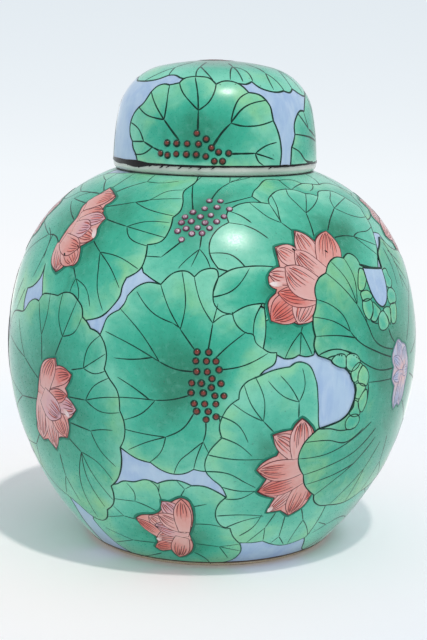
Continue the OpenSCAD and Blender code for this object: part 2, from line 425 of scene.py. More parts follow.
PAINTS = {
    "leaf": leaf_enamel(), "water": water_enamel(), "petal": petal_enamel(), "porcelain": porcelain(),
    "bead": bead_enamel("bead_enamel", (130, 44, 32), (100, 44, 26), (54, 34, 22)),
    # the shoulder beads: their whitish patches over a plum foot are partly their pale pink enamel and
    # partly a painted highlight
    "pale_highlit_bead": bead_enamel("pale_highlit_bead_enamel", (212, 190, 204), (146, 92, 118), (96, 50, 72)),
}
for key, name, colour, other in (
        ("ink", "ink_line", (0, 42, 34), (12, 68, 52)),
        ("petal_line", "petal_line", (84, 38, 44), (128, 62, 62)),
        ("soft_ink", "soft_ink", (12, 66, 54), (30, 92, 74)),
        ("halo", "halo_line", (14, 58, 48), (28, 80, 66)),
        ("rose", "rose_line", (212, 112, 102), (224, 134, 124)),
        ("shadow", "halo_shadow", (16, 118, 96), (28, 130, 106)),
        ("soft_line", "soft_line", (110, 114, 148), (146, 146, 174)),
        ("foot", "foot_line", (84, 66, 54), (112, 92, 76)),
        ("border", "border_ink", (10, 8, 10), (24, 20, 22)),
        ("plum", "plum_ring", (96, 54, 76), (112, 72, 92))):
    PAINTS[key] = ink_enamel(name, colour, other)


# ---------------------------------------------------------------- pieces

def link(name, data):
    """A new object in the scene."""
    thing = bpy.data.objects.new(name, data)
    bpy.context.scene.collection.objects.link(thing)
    return thing


def smooth_mesh(name, verts, faces, material):
    mesh = bpy.data.meshes.new(name)
    mesh.from_pydata(np.asarray(verts).tolist(), [], faces)
    mesh.validate()
    mesh.polygons.foreach_set("use_smooth", [True] * len(mesh.polygons))
    mesh.materials.append(material)
    return mesh


def add_piece(name, verts, faces, wall, kind, normals, **values):
    """A piece that rides on a wall, in one kind of paint, with values for its material to read."""
    mesh = smooth_mesh(name, verts, faces, PAINTS[kind])
    for key, value in values.items():
        colours = np.ndim(value) == 2
        layer = mesh.attributes.new(key, "FLOAT_COLOR" if colours else "FLOAT", "POINT")
        layer.data.foreach_set("color" if colours else "value", np.asarray(value, np.float32).ravel())
    mesh.normals_split_custom_set_from_vertices(np.asarray(normals).tolist())
    piece = link(name, mesh)
    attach(piece, wall.body)
    return piece


def slab(name, sheet, loop, layer, kind, grid=GRID, **values):
    """A thin closed enamel cast over the area inside loop, its top on the given layer.

    Each value is a constant, or a rule for the flat places and their distances from the rim.
    """
    wall, row_pitch, clear = sheet.wall, 0.87 * grid, 0.45 * grid
    loop = thinned(loop)
    low, high = loop.min(0), loop.max(0)
    us = np.arange(low[0] + grid / 2, high[0], grid)
    vs = np.arange(low[1] + grid / 2, high[1], row_pitch)
    uv = np.array([(u + (grid / 2 if row % 2 else 0), v) for row, v in enumerate(vs) for u in us])
    if len(uv):
        uv = uv[inside(uv, loop)]
    if len(uv):
        gap = np.min(np.hypot(uv[:, None, 0] - loop[None, :, 0], uv[:, None, 1] - loop[None, :, 1]), 1)
        uv = uv[gap > clear]
    points = np.vstack([loop, uv]) if len(uv) else loop
    inside_only, merge = 1, 1e-6
    out = delaunay_2d_cdt([Vector(p) for p in points], [], [list(range(len(loop)))], inside_only, merge)
    flat = np.array([(p[0], p[1]) for p in out[0]])
    tris = [list(f) for f in out[2]]
    if not tris:
        raise ValueError("no area in " + name)
    edge = {}
    for f in tris:
        for a, b in zip(f, f[1:] + f[:1]):
            if edge.pop((b, a), None) is None:
                edge[(a, b)] = True
    az, s = sheet.back(flat)
    ground, normals = wall.place(az, s), wall.normal(az, s)
    rim = nearest(ground, ground[sorted({i for e in edge for i in e})])
    top = wall.place(az, s, FIRST_RISE + LAYER * layer)
    a, b, c = tris[0]
    if np.cross(top[b] - top[a], top[c] - top[a]) @ normals[a] < 0:
        tris, edge = [f[::-1] for f in tris], [(b, a) for a, b in edge]
    m = len(flat)
    faces = tris + [[i + m for i in f[::-1]] for f in tris] + [[b, a, a + m, b + m] for a, b in edge]
    data = {"rim": rim}
    for key, rule in values.items():
        data[key] = rule(flat, rim) if callable(rule) else np.broadcast_to(rule, (m,) + np.shape(rule))
    return add_piece(name, np.vstack([top, wall.place(az, s, -BURY)]), faces, wall, kind,
                     np.vstack([normals] * 2), **{key: np.concatenate([v, v]) for key, v in data.items()})


class Ink:
    """Collects painted lines and turns them into one piece of thin raised strips."""

    def __init__(self, sheet, layer):
        self.sheet, self.layer = sheet, layer
        self.verts, self.normals, self.faces, self.count = [], [], [], 0

    def draw(self, points, start, end, turn=0.0):
        """One stroke through places on the wall, start and end being its widths in mm."""
        self.stroke(self.sheet.flat(shifted(points, turn)), start, end)

    def ring(self, loop, width, lift=0.0):
        """A closed line round a flat loop."""
        loop = thinned(loop, INK_LEAST)
        self.strip(np.vstack([loop, loop[:1]]), np.full(len(loop) + 1, width), lift, True)

    def stroke(self, path, start, end, lift=0.0):
        """One stroke along a flat path, thin at both ends."""
        path = thinned(smooth_run(path, INK_STEP), INK_LEAST)
        if len(path) > 1:
            t = np.linspace(0, 1, len(path))
            ends = np.clip(np.minimum(t, 1 - t) * len(path) / 2.0 + INK_TIP, INK_TIP, 1)
            self.strip(path, (start + (end - start) * t) * ends, lift, False)

    def strip(self, path, width, lift, closed):
        """A raised strip along a flat path, with a width for each of its places."""
        wall = self.sheet.wall
        az, s = self.sheet.back(path)
        if not self.sheet.side:
            az = np.degrees(np.unwrap(np.radians(az)))
        ground, normal = wall.place(az, s), wall.normal(az, s)
        along = np.gradient(ground, axis=0)
        if closed:
            along[0] = along[-1] = ground[1] - ground[-2]
        along /= np.maximum(np.linalg.norm(along, axis=1, keepdims=True), 1e-12)
        wobble = np.array([noise.noise(Vector(g * WOBBLE_SCALE)) for g in ground])
        half = np.cross(normal, along) * (width * (1 + INK_WOBBLE * wobble))[:, None] / 2 * MM
        high = normal * (FIRST_RISE + LAYER * self.layer + INK_RISE + lift) * MM
        deep = normal * -INK_BURY * MM
        corners = np.stack([ground + half + deep, ground + half * INK_TOP + high,
                            ground - half * INK_TOP + high, ground - half + deep], 1)
        base, count = self.count, len(path) - int(closed)
        self.verts.append(corners[:count].reshape(-1, 3))
        self.normals.append(np.repeat(normal[:count], 4, axis=0))
        for i in range(len(path) - 1):
            a, b = base + 4 * i, base + 4 * ((i + 1) % count)
            self.faces += [[a + c, a + (c + 1) % 4, b + (c + 1) % 4, b + c] for c in range(4)]
        if not closed:
            self.faces.append([base + 3, base + 2, base + 1, base])
            self.faces.append([base + 4 * (count - 1) + c for c in range(4)])
        self.count += 4 * count

    def make(self, name, kind):
        if self.verts:
            add_piece(name, np.vstack(self.verts), self.faces, self.sheet.wall, kind,
                      np.vstack(self.normals))


# ---------------------------------------------------------------- motifs

def leaf(name, sheet, outline, layer, heart, veins, turn=0.0, tone=0.0, core=None, spread=1.0,
         lime=0.0, weight=1.0, pen="ink"):
    """One lotus leaf: its enamel, its inked edge and its forked veins, each a stem with its twigs.

    The tone is core at the heart and tone further out, from -1 for mint to 1 for deep green.
    """
    core = tone if core is None else core
    loop = margin(sheet, outline, turn)
    centre = sheet.wall.place([heart[0] + turn], [heart[1]])

    def reach(flat, rim):
        away = nearest(sheet.wall.place(*sheet.back(flat)), centre)
        return away / np.maximum(away + rim, 1e-6)

    def depth(flat, rim):
        return tone + (core - tone) * np.clip(spread - 1.3 * reach(flat, rim), 0, 1)

    slab(name, sheet, loop, layer, "leaf", reach=reach, tone=depth, lime=lime)
    ink = Ink(sheet, layer)
    ink.ring(loop, EDGE_WIDTH * weight)
    for stem, *twigs in veins:
        path = sheet.flat(shifted(stem, turn))
        ink.stroke(longer(path, VEIN_ROOT, 0.0 if twigs else VEIN_OVER), VEIN_WIDTH * weight,
                   (TWIG_WIDTH if twigs else VEIN_END) * weight)
        for twig in twigs:
            run = np.vstack([path[-1:], sheet.flat(shifted(twig, turn))])
            ink.stroke(longer(run, 0.0, VEIN_OVER), TWIG_WIDTH * weight, VEIN_END * weight)
    ink.make(name + "_ink", pen)


class Petal:
    """A petal in a sheet's flat mm, from a broad base to a pointed tip along a bent axis."""
    FULLER, ROOT_SHARE, CLOSING = 1.12, 0.66, 2.4      # of the width; how abruptly the tip closes

    def __init__(self, sheet, tip, base, width, bend, turn):
        tip, self.base = sheet.flat(shifted([tip, base], turn))
        self.length = np.hypot(*(tip - self.base))
        self.axis = (tip - self.base) / self.length
        self.side = np.array([-self.axis[1], self.axis[0]])
        self.width, self.bend = width * self.FULLER, bend * self.length

    def half(self, t):
        """Half the width at t, 0 at the base and 1 at the tip."""
        t = np.clip(t, 0, 1)
        swell = self.ROOT_SHARE + (1 - self.ROOT_SHARE) * np.sin(np.pi / 2 * np.minimum(t / 0.5, 1))
        close = 1 - np.clip((t - 0.5) / 0.5, 0, 1) ** self.CLOSING
        return self.width / 2 * swell * close

    def spot(self, t, lane):
        """The flat place at t along the petal, lane -1 to 1 across it."""
        off = lane * self.half(t) + self.bend * 4 * t * (1 - t)
        return self.base + self.axis * (t * self.length)[:, None] + self.side * off[:, None]

    def loop(self):
        t = np.sin(np.linspace(0, np.pi / 2, 15))
        return thinned(np.vstack([self.spot(t, 1.0), self.spot(t[::-1][1:], -1.0)]))

    def along(self, flat, rim):
        return (flat - self.base) @ self.axis / self.length

    def across(self, flat, rim):
        t = np.clip(self.along(flat, rim), 0, 1)
        off = (flat - self.base) @ self.side - self.bend * 4 * t * (1 - t)
        return np.clip(off / np.maximum(self.half(t), 0.3), -1.2, 1.2)


def blossom(name, sheet, petals, layer, turn=0.0, body=None, ground=None, line="petal_line"):
    """Overlapping petals, each (tip, base, width, tint, bend), painted over a filled body."""
    lines, rims, rose, shadow, halo = (Ink(sheet, layer) for _ in range(5))

    def surround(loop, halo_stroke):
        shadow.ring(loop, *SHADOW)
        halo.ring(loop, *halo_stroke)

    if body:
        loop = margin(sheet, body, turn, FINE_STEP)
        middle = loop.mean(0)
        size = np.hypot(*(loop - middle).T).max()
        slab(name + "_body", sheet, loop, layer, "petal", FINE_GRID,
             along=lambda flat, rim: np.hypot(*(flat - middle).T) / size,
             across=lambda flat, rim: 1.5 * np.sin(6 * np.arctan2(*(flat - middle).T)),
             seed=3.1 + turn, tint=paint(*(ground or CORAL)))
        rims.ring(loop, *BODY_RIM)
        surround(loop, BODY_HALO)
    for number, (tip, base, width, tint, bend) in enumerate(petals):
        petal = Petal(sheet, tip, base, width, bend, turn)
        loop = petal.loop()
        rise = (BODY_RISE if body else 0.0) + PETAL_RISE * number
        slab(f"{name}_petal{number + 1}", sheet, loop, layer + rise / LAYER, "petal", FINE_GRID,
             along=petal.along, across=petal.across, seed=0.37 * number + turn, tint=paint(*tint))
        if tint == TOUCH:
            continue
        rims.ring(loop, RIM_WIDTH, rise - RIM_DROP)
        if not body:
            surround(loop, PETAL_HALO)
        count = int(np.clip(round(width / LINE_GAP), 3, 7))
        for lane in (np.arange(count) + 0.5) / count * 2 * LINE_REACH - LINE_REACH:
            # from near the tip to somewhere short of the base, with a little sway between lanes
            end, start = 0.95 - 0.1 * rng.random(), 0.25 + 0.35 * rng.random()
            path = petal.spot(np.linspace(end, start, 6), (lane + 0.12 * rng.random()) * 0.88)
            lines.stroke(path, *LINE_WIDTHS, rise - LINE_DROP)
        for lane in (-0.5, 0.1, 0.6):
            path = petal.spot(np.linspace(0.85, 0.4 + 0.2 * rng.random(), 5), lane)
            rose.stroke(path, *ROSE_WIDTHS, rise - RIM_DROP)
    shadow.make(name + "_shadow", "shadow")
    halo.make(name + "_halo", "halo" if line == "petal_line" else line)
    if line == "petal_line":
        rose.make(name + "_rose", "rose")
    rims.make(name + "_rim", line)
    lines.make(name + "_lines", line)


def cells(name, sheet, loops, layer, turn):
    """Small rounded cells of a leaf's turned-over edge, each closed by its own line."""
    ink = Ink(sheet, layer)
    for number, outline in enumerate(loops):
        loop = margin(sheet, outline, turn, FINE_STEP)
        slab(f"{name}{number + 1}", sheet, loop, layer, "leaf", CELL_GRID, tone=0.0, lime=1.0,
             reach=lambda flat, rim: 0.85 - 0.1 * np.clip(rim / 3, 0, 1))
        ink.ring(loop, CELL_EDGE)
    ink.make(name + "_ink", "ink")


def ripple(az, scale, seed):
    """Noise that closes on itself round a wall."""
    a = math.radians(az)
    return noise.noise(Vector((math.cos(a) * scale, math.sin(a) * scale, seed)))


def band(name, wall, low, high, lift, kind, rows=2, wave=0.0, around=240):
    """A closed ring of enamel between two heights, its edges wavering by wave mm."""
    az = np.arange(around) * 360.0 / around
    broad, fine, fine_share = 4, 19, 0.6

    def sway(seed):
        return wave * np.array([ripple(a, broad, seed) + fine_share * ripple(a, fine, seed) for a in az])

    lo, hi = low + sway(low), high + sway(high + 5)
    heights = [lo + (hi - lo) * t for t in np.linspace(0, 1, rows)]
    there_and_back = [(s, lift) for s in heights] + [(s, -BURY) for s in heights[::-1]]
    count = len(there_and_back)
    faces = [[k * around + i, k * around + (i + 1) % around,
              (k + 1) % count * around + (i + 1) % around, (k + 1) % count * around + i]
             for k in range(count) for i in range(around)]
    add_piece(name, np.vstack([wall.place(az, s, rise) for s, rise in there_and_back]), faces, wall,
              kind, np.vstack([wall.normal(az, s) for s, _ in there_and_back]))


# ---------------------------------------------------------------- raised seeds

def seed_spots(node):
    """The centre of every separate seed in a CAD node, in metres."""
    mesh = node.data
    links = list(range(len(mesh.vertices)))

    def root(i):
        while links[i] != i:
            links[i] = links[links[i]]
            i = links[i]
        return i

    merged = {}
    for v in mesh.vertices:
        key = tuple(round(c, 6) for c in v.co)
        if key in merged:
            links[root(v.index)] = root(merged[key])
        merged[key] = v.index
    for e in mesh.edges:
        a, b = root(e.vertices[0]), root(e.vertices[1])
        links[a] = b
    groups = {}
    for v in mesh.vertices:
        groups.setdefault(root(v.index), []).append(v.co)
    return [sum(g, Vector()) / len(g) for g in groups.values()]


def domes(name, wall, places, kind, radius, rise, steps):
    """Smooth domes at places on a wall, all in one piece, their sizes in mm."""
    floor, around, uneven, fullness, upright = 0.3, 20, 0.06, 0.9, 0.15
    verts, faces, normals, ups = [], [], [], []
    for az, s in places:
        centre, normal = wall.place(az, s), wall.normal(az, s)
        east = np.array([math.cos(math.radians(az)), math.sin(math.radians(az)), 0.0])
        north = np.cross(normal, east)
        swell = 1 + uneven * rng.uniform(-1, 1)
        base = len(verts)
        for k in range(steps):
            tilt = math.pi / 2 * k / steps
            reach = radius * swell * math.cos(tilt) ** fullness
            up = floor + (rise - floor) * math.sin(tilt)
            for a in 2 * math.pi * np.arange(around) / around:
                out = east * math.cos(a) + north * math.sin(a)
                verts.append(centre + (out * reach + normal * up) * MM)
                normals.append(out * math.cos(tilt) + normal * (math.sin(tilt) + upright))
                ups.append(math.sin(tilt))
        tip = len(verts)
        verts += [centre + normal * rise * MM, centre - normal * floor * MM]
        normals += [normal, -normal]
        ups += [1.0, 0.0]
        last = tip - around
        for a, b in ((j, (j + 1) % around) for j in range(around)):
            for row in range(base, last, around):
                faces.append([row + a, row + b, row + b + around, row + a + around])
            faces += [[last + a, last + b, tip], [base + b, base + a, tip + 1]]
    return add_piece(name, verts, faces, wall, kind, normals, up=ups)


# the ring's paint and radius and the bead's paint, for seeds high on the jar and for all others
SEED_PAINTS = {"high": ("plum", 1.55, "pale_highlit_bead"), "low": ("halo", 1.7, "bead")}
HIGH_FROM, BEAD_RADIUS, BEAD_RISE, RING_RISE = 40, 1.08, 1.0, 0.4


def seeds(node_name, wall, tag):
    """Domed beads over the CAD seeds, each in a dark painted ring."""
    s_all = np.linspace(wall.start, wall.end, 3000)
    r_all, z_all, _ = wall.section(s_all)
    groups = {}
    for spot in seed_spots(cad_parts[node_name]):
        az = math.degrees(math.atan2(spot.x, -spot.y))
        r, z = math.hypot(spot.x, spot.y) / MM, spot.z / MM
        s = float(s_all[np.argmin((r_all - r) ** 2 + (z_all - z) ** 2)])
        side = "front" if abs(az) < 90 else "back"
        height = "high" if s > HIGH_FROM and wall is JAR else "low"
        groups.setdefault((side, height), []).append((az, s))
    made = []
    for (side, height), places in sorted(groups.items()):
        stem = f"{tag}_{side}_{height}_"
        ring, ring_radius, bead = SEED_PAINTS[height]
        domes(stem + "rings", wall, places, ring, ring_radius, RING_RISE, steps=3)
        made.append(domes(stem + "beads", wall, places, bead, BEAD_RADIUS, BEAD_RISE, steps=6))
    return made


# ---------------------------------------------------------------- the lotus pond on the jar

N = 1   # marks a notch in an outline, where its edge turns sharply

LEAF_SHOULDER = [
    (-23, 60, N), (-19.5, 47, N), (-12, 41), (0, 41, N), (4, 46), (4, 60), (9, 74, N), (30, 68), (60, 64),
    (67.5, 61.5, N), (69, 56), (75, 50), (92, 48), (102, 62, N), (104, 90), (103, 106.9, N),
    (-34, 106.9, N), (-24, 90),
]
LEAF_LIME = [
    (15.5, 89.5, N), (17, 93), (20.5, 97), (24, 101), (27.5, 103.5), (31, 103.7), (35, 102.5, N),
    (40, 102.8), (43.5, 102), (46.5, 98.3, N), (50, 98), (53, 97), (58, 96, N), (64, 96.5), (70, 95),
    (76, 90, N), (80, 85), (81, 79), (78, 74, N), (70, 70), (55, 72), (30, 78), (20, 82, N),
]
LEAF_UPPER_LEFT = [
    (-13, 92), (-11.8, 84), (-12, 79), (-14, 75, N), (-14, 69), (-16, 62), (-20, 60, N), (-19.7, 54),
    (-20.5, 48.5), (-24.2, 44, N), (-25, 40), (-25.2, 36), (-27, 31), (-30, 26), (-34.5, 23.5, N),
    (-42, 18), (-53, 22), (-54, 31), (-56, 39), (-57, 45, N), (-57.5, 38), (-60.5, 33.5), (-64, 31.5, N),
    (-64.3, 25), (-63, 17), (-66, 8, N), (-76, 8), (-84, 20), (-88, 34, N), (-90, 50), (-87, 66, N),
    (-90, 78), (-84, 90, N), (-76, 100), (-62, 104, N), (-50, 106.9, N), (-9, 106.9, N), (-9, 102),
]
LEAF_SHOULDER_RIGHT = [
    (1.5, 50, N), (-1, 57), (-1, 63), (1.5, 69.5), (5, 73, N), (4.5, 78), (8, 83), (14, 85.3), (18, 85),
    (21.3, 84, N), (21.8, 87), (24, 90), (28.5, 93.4), (33.5, 94.4, N), (38, 93), (41.5, 90, N),
    (44, 89.6), (47, 87.5, N), (50, 90.5), (56, 91), (61, 89.5), (65, 84.5, N), (67, 80.5), (69, 77),
    (67.5, 73.5), (66.5, 71.5, N), (66, 68.5), (64.5, 65, N), (62.5, 61), (61, 57.5), (59, 53),
    (58, 51, N), (56.5, 48), (55.5, 45, N), (50, 38), (30, 36), (15, 44),
]
LEAF_FOLD_TOP = [
    (0.3, 40, N), (1.5, 46, N), (5, 49.5), (10, 51), (15, 51), (24, 48, N), (26, 36, N), (14, 27, N),
    (5, 26, N), (-3, 30), (-3.5, 38, N),
]
LEAF_UNDER_BLOSSOM = [
    (17, 38, N), (22, 34), (30, 30), (28, 20), (26.7, 11, N), (24.5, 10.5), (22.5, 11.5, N), (21, 10.3),
    (18.5, 10.2, N), (16, 12.5, N), (11, 15), (10, 26),
]
LEAF_CENTRE = [
    (-5, 46, N), (-7, 48.3), (-10, 48), (-14, 42, N), (-18, 42.5), (-20.5, 40.5), (-23, 36, N),
    (-23.5, 33), (-25, 29.5, N), (-28, 26), (-29.3, 20), (-31, 12), (-30, 0), (-27, -20), (-25, -32),
    (-23.5, -34, N), (-20, -37.5), (-16, -39, N), (-13, -42.5), (-10, -44), (-7, -43.5), (-4.3, -41, N),
    (-2.5, -41.7), (0, -42, N), (4, -38), (6, -20), (10, -4), (13, 5), (16, 8.5), (16.5, 13, N),
    (14.5, 13.3), (13, 15, N), (13.7, 22), (13.5, 34.5, N), (9, 33.5), (5, 30, N), (2.5, 31), (0.6, 34),
    (0.2, 40), (1.5, 46, N), (1.2, 49), (-3, 49),
]
LEAF_LOWER_RIGHT = [
    (-1, -42), (-1.3, -38), (-0.5, -33), (3, -25, N), (2.3, -20), (3, -15), (5, -9.5), (7, -7, N),
    (7.3, -3), (8.5, 0), (12, 3), (16, 5.5), (20, 6.5, N), (22, 8.3), (25, 7), (27.3, 0), (28.3, -10),
    (29.3, -22), (32, -32), (36, -50), (40, -66), (40.5, -80), (40, -90, N), (37, -91.5), (30, -93),
    (23, -89.5), (20, -87, N), (17, -87.5), (11, -87, N), (8.5, -82), (7, -76, N), (4, -74), (2, -67),
    (2.6, -61), (5, -56, N), (3.3, -50), (0.5, -45.5),
]
LEAF_LEFT = [
    (-63, 21), (-60, 26), (-57, 28), (-55, 27.5, N), (-53.5, 31), (-50, 32), (-46.5, 32, N), (-44, 34),
    (-41, 34), (-38.5, 31.5, N), (-36.8, 29), (-36, 24.5, N), (-34.3, 22.5), (-33, 20, N), (-30.5, 18.7),
    (-28.5, 15), (-27.5, 10), (-28, 3, N), (-26.7, -0.5), (-24.3, -6), (-23.7, -15, N), (-22.7, -20),
    (-23, -28), (-24.5, -33, N), (-24.7, -40), (-25.5, -45), (-27, -50), (-30, -55, N), (-30, -60),
    (-31, -65), (-35, -71, N), (-37, -77), (-40, -80), (-44, -80), (-47, -77.5, N), (-50, -73.5),
    (-53, -71), (-59, -68, N), (-66, -60), (-71, -48, N), (-77, -36), (-80, -20, N), (-81, -6),
    (-77, 6, N), (-73, 17), (-66, 20, N),
]
LEAF_BOTTOM = [
    (-30, -54.5), (-27.5, -53, N), (-25.5, -51), (-22, -50.5), (-18, -48.5), (-14.8, -50, N), (-12, -48),
    (-9, -47.5), (-5, -50, N), (-2, -50), (2.5, -53.5), (8, -62), (12, -78), (11.5, -88, N), (12.7, -95),
    (11, -101), (6, -104.9, N), (-36, -104.9, N), (-41, -100), (-44.5, -91), (-46, -82, N), (-42, -74),
    (-35, -62), (-33, -57, N),
]
LEAF_FOLDED = [
    (28.5, 35, N), (28.5, 40), (30, 44), (33, 46.5, N), (34.5, 50.3), (38, 53.3), (41, 52.5, N),
    (43.5, 54.5), (46, 52.5), (47, 48.5, N), (52, 46.5), (57.5, 45.5, N), (58.5, 52), (62.5, 56),
    (65.5, 59.5, N), (69.5, 54), (79, 50, N), (86, 42, N), (93, 30), (93, 12, N), (97, -6), (92, -26, N),
    (89, -42), (80, -52, N), (70, -62), (58, -66, N), (50, -69), (41, -67.5, N), (36.5, -66), (33.6, -62),
    (33, -59, N), (31, -56.5), (28, -51), (27, -46, N), (25.3, -42), (24.3, -36), (25.2, -30),
    (29, -23.3, N), (33, -22), (36, -20.7), (38.5, -18), (40, -13), (40.4, -8), (39.7, -4), (38.4, 0),
    (36, 4), (33, 7), (28, 10.5, N), (26.8, 14.5), (27.3, 19, N), (26.8, 24), (27, 28, N), (28, 31.5),
]
LEAF_LOW_RIGHT = [
    (38, -62, N), (37, -77), (37.5, -86), (41, -93), (46, -103), (49, -104.9, N), (123, -104.9, N),
    (124, -96), (124.5, -86, N), (126, -74), (125, -62, N), (112, -54), (96, -52, N), (80, -54),
    (60, -56, N), (50, -60),
]

# the veins of each leaf: [stem, twig, twig ...]
VEINS_LOW_RIGHT = [
    [[(64, -86), (54, -82), (48, -84)], [(42.5, -88)], [(42, -80)]],
    [[(62, -90), (56, -97)], [(48, -104)], [(58, -106)]],
    [[(70, -84), (80, -80)], [(92, -74)], [(94, -88)]],
    [[(66, -80), (68, -72)], [(60, -64)], [(76, -62)]],
    [[(70, -92), (78, -99)], [(76, -106)], [(90, -104)]],
]
VEINS_SHOULDER = [
    [[(-7.5, 80), (-9, 90), (-10, 98)], [(-13.5, 106.5)], [(-8.5, 103), (-7, 106.7)]],
    [[(-1, 87), (2, 94.5), (7.5, 101)], [(8.5, 106.7)], [(12, 104), (15, 106.7)]],
    [[(9, 102.5), (15, 104.5), (20, 106.7)]], [[(4.5, 84.5), (10, 87), (15.5, 89.3)], [(21, 90.2)]],
    [[(-10, 62), (-15, 54.5)], [(-20, 54.5)]],
    [[(-3.7, 65), (-4, 59)], [(-5, 55), (-6, 51)], [(-8, 53), (-9.5, 50)], [(-2, 55), (-0.8, 50.5)]],
    [[(58, 96), (62, 101), (64, 106.7)]], [[(76, 90), (80, 98)], [(80, 106.7)], [(88, 104)]],
]
VEINS_LIME = [
    [[(35, 102.5), (35.3, 96), (36.5, 93)]], [[(46.5, 98.3), (40, 96), (36.5, 94)]],
    [[(53, 97), (50, 94), (46, 92)]], [[(72, 77), (75, 84)], [(74, 91)], [(80, 86)]],
]
VEINS_SHOULDER_RIGHT = [
    [[(26.5, 67), (23, 72.5)], [(23, 75.5), (23.8, 81.5), (24, 89.7)], [(21.8, 80.5), (21.3, 84)],
    [(18.8, 76), (16, 80.5), (13.7, 84.8)]], [[(16.5, 65), (13, 69.3), (9.7, 71.7)], [(5, 72.8)]],
    [[(12, 73.5), (9.7, 76.5), (5.5, 79.5)]], [[(9, 50.5), (5, 56.5), (-1, 57)]],
    [[(33, 64), (34.5, 77.5)], [(33, 83.5), (32, 89), (33.5, 94.4)], [(38.2, 84.5), (41.5, 90)],
    [(39, 80.6), (44, 84.7), (47, 87.5)]], [[(39.7, 67), (42.5, 71.5), (50, 79)],
    [(52, 84), (56.5, 88), (59, 90)], [(57, 82), (65, 84.3)], [(56, 74), (62, 71.5), (66.5, 71.3)]],
    [[(41, 63), (45, 63.5), (50, 62.5)], [(52, 63.7), (60, 64.2), (64.5, 65.5)],
    [(55, 59.5), (60.3, 56.3)], [(54, 57), (58, 52)]],
]
VEINS_UPPER_LEFT = [
    [[(-42.5, 78.5), (-36, 81), (-31, 83)], [(-27, 84), (-20, 92), (-14, 93.5)], [(-24, 85.5), (-13, 87)],
    [(-26, 80), (-14, 76)]], [[(-39, 71.5), (-29, 68.5)], [(-24, 71.5), (-15, 72)],
    [(-24, 67), (-15, 64)], [(-27, 63.5), (-20, 59.5)]], [[(-40, 60.5), (-35, 54.5)],
    [(-29, 53.5), (-21.5, 48.5)], [(-34, 48), (-32.5, 37), (-30, 29)], [(-30, 48), (-26, 39.5)]],
    [[(-43.5, 47), (-41, 41)], [(-39, 36), (-38.5, 30)], [(-42, 36), (-42, 31)],
    [(-37, 38), (-34.3, 30)]],
    [[(-45, 88), (-40, 94), (-34, 99)], [(-34.5, 106)], [(-27, 98.5), (-18, 101)]],
    [[(-50, 90), (-49, 97), (-50, 106)]],
    [[(-54.5, 86), (-60, 86), (-70, 85)], [(-84, 89)], [(-78, 78), (-88, 79)]], [[(-56, 79), (-68, 80)]],
    [[(-53, 68), (-60, 72.5), (-67.5, 78)]], [[(-53.5, 86), (-61, 85.5), (-68, 80)]],
    [[(-54.7, 55), (-58, 58.6), (-62, 58.6)]], [[(-59.6, 48), (-62, 58), (-67, 61.5)]],
    [[(-66, 30), (-70, 20)]], [[(-70, 34), (-74, 22)]],
    [[(-56, 57), (-60, 59), (-64, 58.5)], [(-74, 62), (-87, 65)], [(-72, 52), (-82, 42)]],
    [[(-61, 58.5), (-60, 50), (-62, 38)]], [[(-52, 88), (-62, 96)], [(-64, 103)], [(-74, 99)]],
]
VEINS_CENTRE = [
    [[(-4.5, 15), (-8, 23)], [(-7, 33), (-8.5, 48)], [(-11, 31), (-14, 42)]],
    [[(-8.5, 24), (-10, 25.5)], [(-15, 29), (-20.3, 38)]],
    [[(-0.8, 15), (0.2, 26)], [(-2.5, 33), (-5, 46)], [(1.4, 34)], [(3, 29.5), (5, 30)]],
    [[(-5, 5), (-9, 5.7), (-13, 8.5)], [(-18, 20), (-24.5, 30)], [(-20, 14.5), (-28, 19.5)]],
    [[(-15.5, 10), (-20, 8.7), (-25, 8.5)]],
    [[(-6, -6), (-10, -8), (-14, -8.7)], [(-19, -8.5), (-25, -9)], [(-17.5, -15), (-22.5, -19)]],
    [[(-16, -8), (-20, -3.5), (-24, 0)]], [[(-4.5, -14.5), (-7, -21), (-11.5, -25.5)],
    [(-16, -25), (-23, -23.5)], [(-17, -29), (-22, -33.5)], [(-13, -33), (-16.3, -38.7)]],
    [[(-1.2, -18), (-1.2, -23), (-1.8, -27)], [(-5, -32), (-8, -37), (-9.7, -43.7)],
    [(-3.5, -35), (-4.3, -41)], [(-0.5, -32)]], [[(1.3, 11.5), (4, 16), (8.5, 22)]],
    [[(2.3, 6), (8, 7.7), (14, 12.7)]], [[(5.3, 30), (6, 26), (8.5, 22), (10.5, 21), (11, 18), (13, 15)]],
    [[(13, 34), (11, 28), (10.5, 21)]], [[(2.3, -16), (3, -24)]],
]
VEINS_FOLD_TOP = [[[(0.3, 37.5), (5, 40), (10, 49.8)]]]
VEINS_UNDER_BLOSSOM = [
    [[(24.5, 27), (23.3, 21.5)], [(20.5, 16), (18.7, 10.3)], [(22.8, 11.3)], [(25.5, 14), (26.3, 11)]],
]
VEINS_LOWER_RIGHT = [
    [[(23, -16), (22.8, -9.5)], [(19, -7), (14.5, 0.5)], [(20.5, -3), (17.7, 2.5)],
    [(24.2, -3), (23.5, 5)]],
    [[(16, -22), (13.5, -17.5)], [(9.5, -14), (5.5, -9)], [(13.5, -8), (11, 2.5)], [(10, -9), (8.3, -1)]],
    [[(3, -25), (7, -28), (11, -34)]], [[(2.5, -15), (7, -19), (9.7, -27)]],
    [[(0, -33.5), (5, -35.3), (14, -36)]], [[(-1, -42), (5, -43), (10, -48), (13, -51)]],
    [[(4, -50.5), (8, -52.5), (13, -53)]], [[(5, -57), (9, -57), (13, -53)]],
    [[(3, -67.5), (9, -67), (17, -68.5)]], [[(11, -81), (15, -75), (16.5, -68)]],
    [[(6, -75), (11, -71), (17, -69)]], [[(25, -71), (25.5, -79), (26, -85)], [(24, -89)], [(30, -92)]],
    [[(30, -66), (33, -75)], [(36, -80), (40, -88)], [(32, -84), (32, -92)]],
    [[(21, -68), (19, -77)], [(16, -83), (14, -87)], [(20, -86)]],
]
